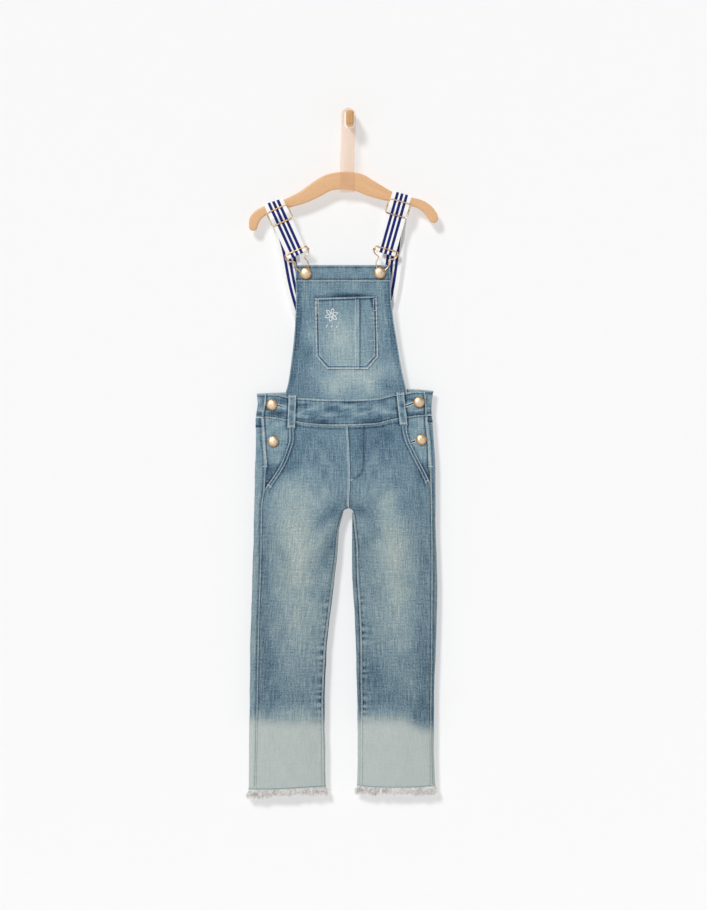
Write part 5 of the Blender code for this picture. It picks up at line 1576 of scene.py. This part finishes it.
def hanger(material):
    """A flat wishbone of wood with rounded edges, thinner towards its round tips."""
    line = open_curve(np.stack((HANGER["x"], HANGER["z"], HANGER["tall"]), -1), 6)
    middle_y, half_deep = (HANGER_FRONT + HANGER_BACK) / 2, (HANGER_BACK - HANGER_FRONT) / 2
    slope = unit(np.gradient(line[:, :2], axis=0))

    def tip(end, sign, b, s):
        """A smaller section beyond an end of the bar: how far out, and its share of the end's size."""
        (x, z, tall), ahead = line[end], slope[end]
        return x + sign * ahead[0] * b, z + sign * ahead[1] * b, ahead, tall * s, half_deep * mix(0.7, 1.0, s)

    stations = [tip(0, -1, b, s)
                for b, s in ((5.75, 0.28), (5.3, 0.46), (4.4, 0.70), (3.0, 0.88), (1.5, 0.97))]
    stations += [(x, z, d, tall, half_deep) for (x, z, tall), d in zip(line, slope)]
    stations += [tip(-1, 1, b, s)
                 for b, s in ((1.5, 0.97), (3.0, 0.88), (4.4, 0.70), (5.4, 0.46), (5.85, 0.28))]
    rings, grain, along, before = [], [], 0.0, None
    for x, z, ahead, high, deep in stations:
        if before is not None:
            along += math.hypot(x - before[0], z - before[1])
        before = (x, z)
        up = np.array([-ahead[1], 0.0, ahead[0]])
        edge = min(HANGER_EDGE, high / 2.2, deep / 1.2)
        outline = round_rectangle(deep, -high / 2, high / 2, edge, 7)
        rings.append([np.array((x, middle_y + y, z)) + up * rise for y, rise in outline])
        grain.append([(along, rise) for _, rise in outline])
    return lofted("hanger_beech", "hanger", rings, material, "beech", np.array(grain))


def hanger_loop(material):
    """A clear band under the hanger's middle, both ends up on the peg through a slot."""
    corner = HANGER_EDGE + SEAM + LOOP / 2
    top, bottom = LOOP_TURNS[0] + HANGER_EDGE, LOOP_TURNS[1] - HANGER_EDGE
    front, back = HANGER_FRONT + HANGER_EDGE, HANGER_BACK - HANGER_EDGE
    stops = [(top, front, -corner), (bottom, front, -corner), (bottom, back, -corner), (top, back, -corner)]
    path = threaded((-LOOP_TOP, LOOP_ENDS[0]), stops, end=(-LOOP_TOP, LOOP_ENDS[1]), bend=10.0)
    head = (0.003, 0.012, 0.028, 0.05, 0.075, 0.1, 0.13, 0.2, 0.3, 0.4, 0.55, 0.7, 0.85)
    rows = [path[0]]
    rows += [tuple(mix(path[0][i], path[1][i], s) for i in (0, 1)) + (path[0][2],) for s in head]
    rows += path[1:-1]
    rows += [tuple(mix(path[-2][i], path[-1][i], 1 - s) for i in (0, 1)) + (path[-1][2],) for s in head[::-1]]
    rows.append(path[-1])
    rings, grain = [], []
    for along, depth, heading in rows:
        rise = max(0.0, LOOP_HALF - (LOOP_TOP + along))
        half = max(math.sqrt(max(LOOP_HALF**2 - rise**2, 0.0)), 2.0)
        middle = LOOP_MIDDLE + LOOP_DRIFT * float(smooth(along / LOOP_TURNS[0]))
        ring, places = [], []
        for off in (-1, 1):
            for across in np.linspace(-1.0, 1.0, 12) * -off:
                thin = LOOP / 2 * (1 - 0.35 * float(smooth((abs(across) - 0.9) / 0.1)))
                p = along - off * thin * math.sin(heading)
                ring.append((middle + across * half, depth + off * thin * math.cos(heading), -p))
                places.append((across * half, along))
        rings.append(ring)
        grain.append(places)
    made = lofted("hanger_loop_band", "hanger_loop", rings, material, "clear_elastomer", np.array(grain))
    ring = round_rectangle(SLOT_HALF, SLOT_BOTTOM, SLOT_TOP, SLOT_CORNER, 9)
    count = len(ring)
    points = [((SLOT_MIDDLE + x) * MM, y * MM, z * MM) for y in (-30.0, -6.0) for x, z in ring]
    faces = [tuple(range(count)), tuple(2 * count - 1 - i for i in range(count))]
    faces += [(i, count + i, count + (i + 1) % count, (i + 1) % count) for i in range(count)]
    mesh = bpy.data.meshes.new("slot_cutter")
    mesh.from_pydata(points, [], faces)
    mesh.update()
    cutter = bpy.data.objects.new("slot_cutter", mesh)
    bpy.context.scene.collection.objects.link(cutter)
    cut = made.modifiers.new("slot", "BOOLEAN")
    cut.operation, cut.object = "DIFFERENCE", cutter
    bpy.context.view_layer.update()
    carved = bpy.data.meshes.new_from_object(made.evaluated_get(bpy.context.evaluated_depsgraph_get()))
    made.modifiers.clear()
    made.data = carved
    bpy.data.objects.remove(cutter)


def wall_peg(material):
    rings, grain = [], []
    # Rings from the wall to the rounded end: how far before the end, and how much smaller
    for before, inset in ((PEG_LONG, 0.0), (4.0, 0.0), (2.4, 0.22), (1.2, 0.8), (0.4, 1.7), (0.0, 3.0)):
        y = before - PEG_LONG
        tall = PEG_TALL / 2 - inset
        outline = round_rectangle(PEG_HALF - inset, -tall, tall, 4.6 - inset / 2, 9)
        rings.append([(x, y, z) for x, z in outline])
        grain.append([(z, x + 60.0) for x, z in outline])
    lofted("wall_peg_beech", "wall_peg", rings, material, "beech", np.array(grain))


# ---------------------------------------------------------------------------------------------- materials


def colour(code):
    """An sRGB hex value as linear red, green, blue and full alpha."""
    parts = [int(code[i:i + 2], 16) / 255 for i in (1, 3, 5)]
    return (*(p / 12.92 if p <= 0.04045 else ((p + 0.055) / 1.055) ** 2.4 for p in parts), 1.0)


def blank(name):
    made = bpy.data.materials.new(name)
    made.use_nodes = True
    made.node_tree.nodes.clear()
    return made, made.node_tree


def add(tree, kind, settings=(), inputs=(), stops=()):
    """A node with its settings, its colour stops and its inputs, by name or number: a value, a node or an output."""
    node = tree.nodes.new("ShaderNode" + kind)
    for key, value in dict(settings).items():
        setattr(node, key, value)
    for place, code in stops:
        line = node.color_ramp.elements
        stop = line[0] if place == stops[0][0] else line[-1] if place == stops[-1][0] else line.new(place)
        stop.position, stop.color = place, colour(code)
    for key, value in dict(inputs).items():
        if isinstance(value, bpy.types.Node):
            tree.links.new(value.outputs[2 if value.bl_idname == "ShaderNodeMix" else 0], node.inputs[key])
        elif isinstance(value, bpy.types.NodeSocket):
            tree.links.new(value, node.inputs[key])
        else:
            node.inputs[key].default_value = value
    return node


PER_MM = 1000.0
COLOURS = {"data_type": "RGBA"}
SUM = {"operation": "MULTIPLY_ADD"}
LESS = {"operation": "SUBTRACT"}
TIMES = {"operation": "MULTIPLY"}


def washed_denim():
    """Washed indigo denim, a 3/1 cotton twill with a little elastane: matt and soft, blue where the warp keeps its
    dye and grey-white where wear shows the undyed core, with thick and thin yarns both ways."""
    made, tree = blank("washed stretch denim")
    grain = add(tree, "UVMap", {"uv_map": "grain"})
    # The wear attribute holds the wash and the wear. It also holds painted shade beside seams, belt loops, folds and
    # under the bib pocket, and painted light along the backs' outer folds.
    wear_and_shading, dip, inside = (add(tree, "Attribute", {"attribute_name": name}).outputs["Fac"]
                         for name in ("wear_and_shading", "dip", "inside"))
    fade_and_shading = add(tree, "Math", {"operation": "ADD"}, {0: wear_and_shading, 1: 0.42})
    height = 0.0
    # Slubs: yarns of 0.7 mm drawn 1.5 to 2 mm thick so that they show. Millimetres across and along, detail, and how
    # much they count in the colour and in the relief
    for wide, long, detail, tint, relief in (
        (1.7, 26.0, 3.0, 0.62, 0.9), (24.0, 1.9, 2.0, 0.34, 0.6),
        (2.0, 2.6, 1.0, 0.56, 0.4), (30.0, 44.0, 2.0, 0.08, 0.0),
    ):
        place = add(tree, "Mapping", {}, {"Vector": grain, "Location": (wide, long, detail),
                                          "Scale": (PER_MM / wide, PER_MM / long, 1.0)})
        yarn = add(tree, "TexNoise", {}, {"Vector": place, "Scale": 1.0, "Detail": detail})
        middle = add(tree, "Math", LESS, {0: yarn, 1: 0.5})
        fade_and_shading = add(tree, "Math", SUM, {0: middle, 1: tint, 2: fade_and_shading})
        height = add(tree, "Math", SUM, {0: middle, 1: relief, 2: height})
    # The low end of this ramp also colours the painted shade.
    dyed = add(tree, "ValToRGB", {}, {0: fade_and_shading}, ((0.0, "#2B4055"), (0.2, "#4B6578"),
                                                 (0.42, "#6B8594"), (0.6, "#869DA6"),
                                                 (0.78, "#A0B0B1"), (1.0, "#CCD3D1")))
    # The legs have been washed greyer than the bib and the waistband
    low = add(tree, "SeparateXYZ", {}, {0: add(tree, "TexCoord").outputs["Object"]}).outputs[2]
    legs = add(tree, "MapRange", {}, {"Value": low, "From Min": -0.50, "From Max": -0.64})
    dyed = add(tree, "Mix", {**COLOURS, "blend_type": "MULTIPLY"}, {0: legs, 6: dyed.outputs[0], 7: colour("#FFF8F2")})
    pale = add(tree, "Math", SUM, {0: fade_and_shading, 1: 0.5, 2: 0.3})
    bleached = add(tree, "ValToRGB", {}, {0: pale}, ((0.2, "#8CA0A1"), (0.5, "#ADB5B2"), (0.9, "#C3C8C4")))
    shown = add(tree, "Mix", COLOURS, {0: dip, 6: dyed, 7: bleached})
    # The undyed weft shows on the inside
    wrong_side = add(tree, "ValToRGB", {}, {0: fade_and_shading}, ((0.0, "#7F909C"), (0.5, "#A8B4BA"), (1.0, "#C9CFD0")))
    base = add(tree, "Mix", COLOURS, {0: inside, 6: shown, 7: wrong_side})
    # Twill lines: real pitch about 0.8 mm, drawn at 1.6 mm so that they show
    slant = add(tree, "Mapping", {}, {"Vector": grain, "Rotation": (0.0, 0.0, math.radians(63.0))})
    twill = add(tree, "TexWave", {"wave_type": "BANDS"}, {"Vector": slant, "Scale": 200.0, "Distortion": 1.2,
                                                           "Detail": 2.0})
    height = add(tree, "Math", SUM, {0: twill.outputs["Fac"], 1: 0.25, 2: height})
    relief = add(tree, "Bump", {}, {"Height": height, "Strength": 0.7, "Distance": 0.0005})
    shader = add(tree, "BsdfPrincipled", {}, {"Base Color": base, "Normal": relief, "Roughness": 0.9, "IOR": 1.46,
                                              "Specular IOR Level": 0.25, "Sheen Weight": 0.08, "Sheen Roughness": 0.5})
    add(tree, "OutputMaterial", {}, {"Surface": shader})
    return made


def spun_thread(name, dark, light, sheen=0.1):
    """Spun polyester sewing thread, two plies: matt with a soft lustre, lighter and darker along its length."""
    made, tree = blank(name)
    place = add(tree, "TexCoord").outputs["Object"]
    # Plies: a twist of 0.8 mm, drawn at 1.6 mm so that it shows
    ply = add(tree, "TexNoise", {}, {"Vector": place, "Scale": PER_MM / 1.6, "Detail": 1.0})
    tone = add(tree, "ValToRGB", {}, {0: ply}, ((0.3, dark), (0.65, light)))
    relief = add(tree, "Bump", {}, {"Height": ply, "Strength": 0.4, "Distance": 0.0002})
    shader = add(tree, "BsdfPrincipled", {}, {"Base Color": tone, "Normal": relief, "Roughness": 0.7, "IOR": 1.54,
                                              "Sheen Weight": sheen})
    add(tree, "OutputMaterial", {}, {"Surface": shader})
    return made


def raw_cotton():
    """Carded cotton yarn ends, frayed out: off-white and very matt, greyer where fewer threads catch the light."""
    made, tree = blank("frayed cotton yarn")
    place = add(tree, "TexCoord").outputs["Object"]
    # Tufts of about 4 mm
    tuft = add(tree, "TexNoise", {}, {"Vector": place, "Scale": PER_MM / 4.0, "Detail": 2.0})
    tone = add(tree, "ValToRGB", {}, {0: tuft}, ((0.3, "#BDBAB8"), (0.5, "#DDDAD7"), (0.75, "#F4F2EF")))
    shader = add(tree, "BsdfPrincipled", {}, {"Base Color": tone, "Roughness": 0.97, "IOR": 1.46,
                                              "Specular IOR Level": 0.2,
                                              "Sheen Weight": 0.2})
    add(tree, "OutputMaterial", {}, {"Surface": shader})
    return made


STRIPE_APART = 7.0
STRIPE_HALF = 2.15


def striped_webbing():
    """Woven polyester webbing: white with three navy stripes, fine cross ribs and a slight sheen."""
    made, tree = blank("woven polyester webbing")
    grain = add(tree, "UVMap", {"uv_map": "grain"})
    split = add(tree, "SeparateXYZ", {}, {0: grain})
    across = add(tree, "Math", {"operation": "ABSOLUTE"}, {0: split.outputs[0]})
    beyond = add(tree, "Math", LESS, {0: across, 1: STRIPE_APART * MM})
    outer = add(tree, "Math", {"operation": "ABSOLUTE"}, {0: beyond})
    nearest = add(tree, "Math", {"operation": "MINIMUM"}, {0: across, 1: outer})
    stripe = add(tree, "MapRange", {}, {"Value": nearest, "From Min": (STRIPE_HALF - 0.15) * MM,
                                        "From Max": (STRIPE_HALF + 0.15) * MM,
                                        "To Min": 1.0, "To Max": 0.0})
    # Weave: picks of 0.9 mm and ends of 1.1 mm
    picks, ends = (add(tree, "Math", TIMES, {0: split.outputs[n], 1: 2 * math.pi * PER_MM / pitch})
                   for n, pitch in ((1, 0.9), (0, 1.1)))
    picks, ends = (add(tree, "Math", {"operation": "SINE"}, {0: turn}) for turn in (picks, ends))
    weave = add(tree, "Math", TIMES, {0: picks, 1: ends})
    tint = add(tree, "Math", SUM, {0: weave, 1: 0.3, 2: 0.5})
    white = add(tree, "Mix", COLOURS, {0: tint, 6: colour("#F1F1EE"), 7: colour("#FFFFFE")})
    navy = add(tree, "Mix", COLOURS, {0: tint, 6: colour("#06104E"), 7: colour("#0E1F7C")})
    base = add(tree, "Mix", COLOURS, {0: stripe, 6: white, 7: navy})
    relief = add(tree, "Bump", {}, {"Height": weave, "Strength": 0.5, "Distance": 0.0002})
    shader = add(tree, "BsdfPrincipled", {}, {"Base Color": base, "Normal": relief, "Roughness": 0.62, "IOR": 1.57,
                                              "Specular IOR Level": 0.2, "Sheen Weight": 0.02})
    add(tree, "OutputMaterial", {}, {"Surface": shader})
    return made


def brushed_brass():
    """Brass, plated and brushed, from coppery brown to pale gold as its tone value rises; on the buttons a painted
    highlight makes the dome's middle pale gold and painted shade makes the rim coppery brown.
    """
    made, tree = blank("brushed brass")
    place = add(tree, "TexCoord").outputs["Object"]
    wear_and_shading = add(tree, "Attribute", {"attribute_name": "wear_and_shading"}).outputs["Fac"]
    # Brush marks of 0.7 mm, 3 mm long
    marks = add(tree, "Mapping", {}, {"Vector": place, "Scale": (PER_MM / 0.7, PER_MM / 0.7, PER_MM / 3.0),
                                      "Rotation": (0.0, 0.6, 0.0)})
    brushed = add(tree, "TexNoise", {}, {"Vector": marks, "Scale": 1.0, "Detail": 2.0})
    bright = add(tree, "Math", SUM, {0: add(tree, "Math", LESS, {0: brushed, 1: 0.5}), 1: 1.7, 2: wear_and_shading})
    tone = add(tree, "ValToRGB", {}, {0: bright}, ((0.0, "#8A5A38"), (0.3, "#C49768"), (0.6, "#E8C79D"),
                                                   (0.95, "#FBEAD2")))
    rough = add(tree, "MapRange", {}, {"Value": brushed, "To Min": 0.34, "To Max": 0.52})
    relief = add(tree, "Bump", {}, {"Height": brushed, "Strength": 0.3, "Distance": 0.0002})
    shader = add(tree, "BsdfPrincipled", {}, {"Base Color": tone, "Metallic": 1.0, "Roughness": rough,
                                              "Normal": relief})
    add(tree, "OutputMaterial", {}, {"Surface": shader})
    return made


def varnished_beech(name, dark, middle, light):
    """Steamed beech with a clear satin varnish: even tan with faint long grain and short dark ray flecks."""
    made, tree = blank(name)
    grain = add(tree, "UVMap", {"uv_map": "grain"})
    # Growth rings 5 mm wide and flecks of 0.9 by 4 mm
    tone = 0.5
    for long, wide, amount in ((90.0, 5.0, 0.35), (4.0, 0.9, 0.6)):
        place = add(tree, "Mapping", {}, {"Vector": grain, "Scale": (PER_MM / long, PER_MM / wide, 1.0),
                                          "Location": (wide, long, 0.0)})
        figure = add(tree, "TexNoise", {}, {"Vector": place, "Scale": 1.0, "Detail": 2.0})
        tone = add(tree, "Math", SUM, {0: add(tree, "Math", LESS, {0: figure, 1: 0.5}), 1: amount, 2: tone})
    base = add(tree, "ValToRGB", {}, {0: tone}, ((0.25, dark), (0.5, middle), (0.75, light)))
    rough = add(tree, "MapRange", {}, {"Value": tone, "To Min": 0.42, "To Max": 0.55})
    relief = add(tree, "Bump", {}, {"Height": tone, "Strength": 0.15, "Distance": 0.0003})
    shader = add(tree, "BsdfPrincipled", {}, {"Base Color": base, "Roughness": rough, "Normal": relief, "IOR": 1.5,
                                              "Coat Weight": 0.2, "Coat Roughness": 0.25})
    add(tree, "OutputMaterial", {}, {"Surface": shader})
    return made


def clear_strap():
    """Translucent TPU, calendered: faintly peach-pink and smooth, with what lies behind showing through."""
    made, tree = blank("translucent TPU")
    grain = add(tree, "UVMap", {"uv_map": "grain"})
    # Faint haze in patches of 11 mm
    haze = add(tree, "TexNoise", {}, {"Vector": grain, "Scale": PER_MM / 11.0, "Detail": 2.0})
    tone = add(tree, "ValToRGB", {}, {0: haze}, ((0.3, "#D9B18E"), (0.7, "#E2BFA1")))
    relief = add(tree, "Bump", {}, {"Height": haze, "Strength": 0.03, "Distance": 0.0005})
    shader = add(tree, "BsdfPrincipled", {}, {"Base Color": tone, "Normal": relief, "Roughness": 0.35, "IOR": 1.5,
                                              "Alpha": 0.16})
    add(tree, "OutputMaterial", {}, {"Surface": shader})
    return made


def slit_shade_paint():
    """A dark strand of painted shade in a buttonhole's slit: indigo, dark and matt."""
    made, tree = blank("buttonhole slit shade")
    place = add(tree, "TexCoord").outputs["Object"]
    # Yarns of 1.2 mm
    yarn = add(tree, "TexNoise", {}, {"Vector": place, "Scale": PER_MM / 1.2})
    tone = add(tree, "Mix", COLOURS, {0: yarn, 6: colour("#14202C"), 7: colour("#22323F")})
    shader = add(tree, "BsdfPrincipled", {}, {"Base Color": tone, "Roughness": 1.0, "IOR": 1.46})
    add(tree, "OutputMaterial", {}, {"Surface": shader})
    return made


def stage_paint(name, code, glow):
    """Matt emulsion on the studio's wall and floor, which aren't part of the object. A little glow keeps the shadows
    on them faint, and their backs are clear."""
    made, tree = blank(name)
    painted = add(tree, "BsdfPrincipled", {}, {"Base Color": colour(code), "Roughness": 1.0, "Specular IOR Level": 0.0,
                                               "Emission Color": colour("#FFFFFF"), "Emission Strength": glow})
    back = add(tree, "NewGeometry").outputs["Backfacing"]
    either = add(tree, "MixShader", {}, {0: back, 1: painted, 2: add(tree, "BsdfTransparent")})
    add(tree, "OutputMaterial", {}, {"Surface": either})
    return made


# ---------------------------------------------------------------------------------------------- all of it

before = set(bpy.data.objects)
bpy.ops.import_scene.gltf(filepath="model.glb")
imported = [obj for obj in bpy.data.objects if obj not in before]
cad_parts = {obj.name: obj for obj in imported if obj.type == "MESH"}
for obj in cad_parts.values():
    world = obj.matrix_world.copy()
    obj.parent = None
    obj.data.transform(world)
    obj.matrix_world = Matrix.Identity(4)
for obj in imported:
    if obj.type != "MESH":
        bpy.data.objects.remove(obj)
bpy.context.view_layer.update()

denim = washed_denim()
pale_thread = spun_thread("pale spun polyester thread", "#A3B3BA", "#E2E7E5")
blue_thread = spun_thread("blue spun polyester thread", "#2E4357", "#6E8695")
teal_thread = spun_thread("teal spun polyester thread", "#3F7077", "#6F9DA0")
white_thread = spun_thread("white embroidery floss", "#DDE3E1", "#FAFBF8", 0.4)
webbing, brass, clear, cotton = striped_webbing(), brushed_brass(), clear_strap(), raw_cotton()
beech = varnished_beech("varnished beech", "#CC9B6B", "#DBAC7E", "#E5BB8F")
end_grain = varnished_beech("varnished beech end grain", "#B07E4A", "#C99863", "#D9AA78")

for side in SIDES:
    threads = fringe(side, cotton)
    trouser_front(side, denim)
    trouser_back(side, denim)
    yoke(side, denim)
    facing(side, denim)
    placket(side, denim)
    strap(side, webbing)
    slider(side, brass)
    clip(side, brass)
    bib_button(side, brass)
band_front(denim)
band_back(denim)
bib(denim)
bib_hem(denim)
bib_pocket(denim)
for loop_name in LOOPS:
    belt_loop(loop_name, denim)
for button_name in BUTTONS:
    cloth_button(button_name, brass)
hanger(beech)
hanger_loop(clear)
wall_peg(end_grain)


def sewn(name, material, parts):
    """Thread, or the dark strands of painted shade in the buttonhole slits, as one piece on the denim."""
    finished(name, *joined(parts), material, "denim")


def seams(name, material, rows, **how):
    """Rows of stitches as one piece."""
    sewn(name, material, [stitches(*row, **how) for row in rows])


for side in SIDES:
    pale, blue = trouser_rows(side)
    seams(f"topstitching_{side}_leg", pale_thread, pale + [facing_row(side)])
    seams(f"tonal_stitching_{side}_leg", blue_thread, blue, thread=0.36)
    seams(f"hem_stitching_{side}", teal_thread, [hem_row(side)], pitch=3.0, thread=0.5)
waist_rows = front_band_rows() + back_band_rows() + [row for name in LOOPS for row in loop_rows(name)]
waist_parts = [stitches(*row) for row in waist_rows] + seam_ends()
for hole in HOLES:
    waist_parts += buttonhole(*hole)
sewn("topstitching_waist", pale_thread, waist_parts)
seams("topstitching_bib", pale_thread, bib_hem_rows() + pocket_rows(), thread=0.34)
seams("tonal_stitching_bib", blue_thread, bib_side_rows(), thread=0.36)
seams("tonal_stitching_waist", blue_thread, [waist_row()])
# Painted shade in the buttonhole slits.
sewn("buttonhole_slit_shade", slit_shade_paint(), [slit(*hole) for hole in HOLES])
sewn("daisy_embroidery", white_thread, daisy(-27.6, -295.0))

# ---------------------------------------------------------------------------------------------- camera, light, wall

PHOTO = (707, 910)
PHOTO_PIXEL = 1.5
PHOTO_CENTRE = (5.25, -504.75)
CAMERA_AWAY = 6000.0
SENSOR = 36.0
GARMENT_FACE = -20.0
WALL_GAP = 0.4
FLOOR = -1300.0

camera_data = bpy.data.cameras.new("camera")
camera_data.sensor_width = SENSOR
camera_data.lens = SENSOR * (CAMERA_AWAY + GARMENT_FACE) / (PHOTO[1] * PHOTO_PIXEL)
camera_data.clip_end = 100.0
camera = bpy.data.objects.new("camera", camera_data)
camera.location = (PHOTO_CENTRE[0] * MM, -CAMERA_AWAY * MM, PHOTO_CENTRE[1] * MM)
camera.rotation_euler = (QUARTER, 0.0, 0.0)
bpy.context.scene.collection.objects.link(camera)
bpy.context.scene.camera = camera


def lamp(name, energy, angle, toward):
    """A broad soft light from far away, shining that way."""
    data = bpy.data.lights.new(name, "SUN")
    data.energy, data.angle = energy, math.radians(angle)
    made = bpy.data.objects.new(name, data)
    made.rotation_mode = "QUATERNION"
    made.rotation_quaternion = Vector(toward).to_track_quat("-Z", "Y")
    bpy.context.scene.collection.objects.link(made)


def stage_panel(name, corners, code, glow):
    """A flat panel of the studio. It takes shadows but throws none, so that the back of the object is lit as well."""
    mesh = bpy.data.meshes.new(name)
    mesh.from_pydata([tuple(c * MM for c in corner) for corner in corners], [], [(0, 1, 2, 3)])
    mesh.materials.append(stage_paint(f"matt emulsion on the {name}", code, glow))
    made = bpy.data.objects.new(name, mesh)
    made.visible_shadow = False
    bpy.context.scene.collection.objects.link(made)


lamp("key", 2.15, 11, (0.45, 1.0, -0.66))
lamp("back_fill", 1.8, 30, (-0.6, -1.0, -0.7))
world = bpy.data.worlds.new("studio")
world.use_nodes = True
sky = world.node_tree
sky.nodes.clear()
# The pale backdrop goes on below the edge of the floor, and the ceiling is darker, which the metal mirrors
upward = add(sky, "SeparateXYZ", {}, {0: add(sky, "TexCoord").outputs["Generated"]}).outputs[2]
height = add(sky, "MapRange", {}, {"Value": upward, "From Min": -1.0, "From Max": 1.0})
glow = add(sky, "ValToRGB", {}, {0: height}, ((0.0, "#FFFFFF"), (0.5, "#F4F4F4"), (0.62, "#A2A2A2"), (1.0, "#B4B4B4")))
add(sky, "OutputWorld", {}, {"Surface": add(sky, "Background", {}, {"Color": glow, "Strength": 0.75})})
bpy.context.scene.world = world
bpy.context.scene.view_settings.view_transform = "Standard"

WALL_HALF, WALL_TOP, FLOOR_HALF = 2200.0, 1500.0, 6000.0
stage_panel("wall", ((-WALL_HALF, WALL_GAP, FLOOR), (WALL_HALF, WALL_GAP, FLOOR), (WALL_HALF, WALL_GAP, WALL_TOP),
                     (-WALL_HALF, WALL_GAP, WALL_TOP)), "#BCBCBC", 0.41)
stage_panel("floor", ((-FLOOR_HALF, -FLOOR_HALF, FLOOR), (FLOOR_HALF, -FLOOR_HALF, FLOOR),
                      (FLOOR_HALF, FLOOR_HALF, FLOOR),
                      (-FLOOR_HALF, FLOOR_HALF, FLOOR)), "#B4B4B4", 0.22)
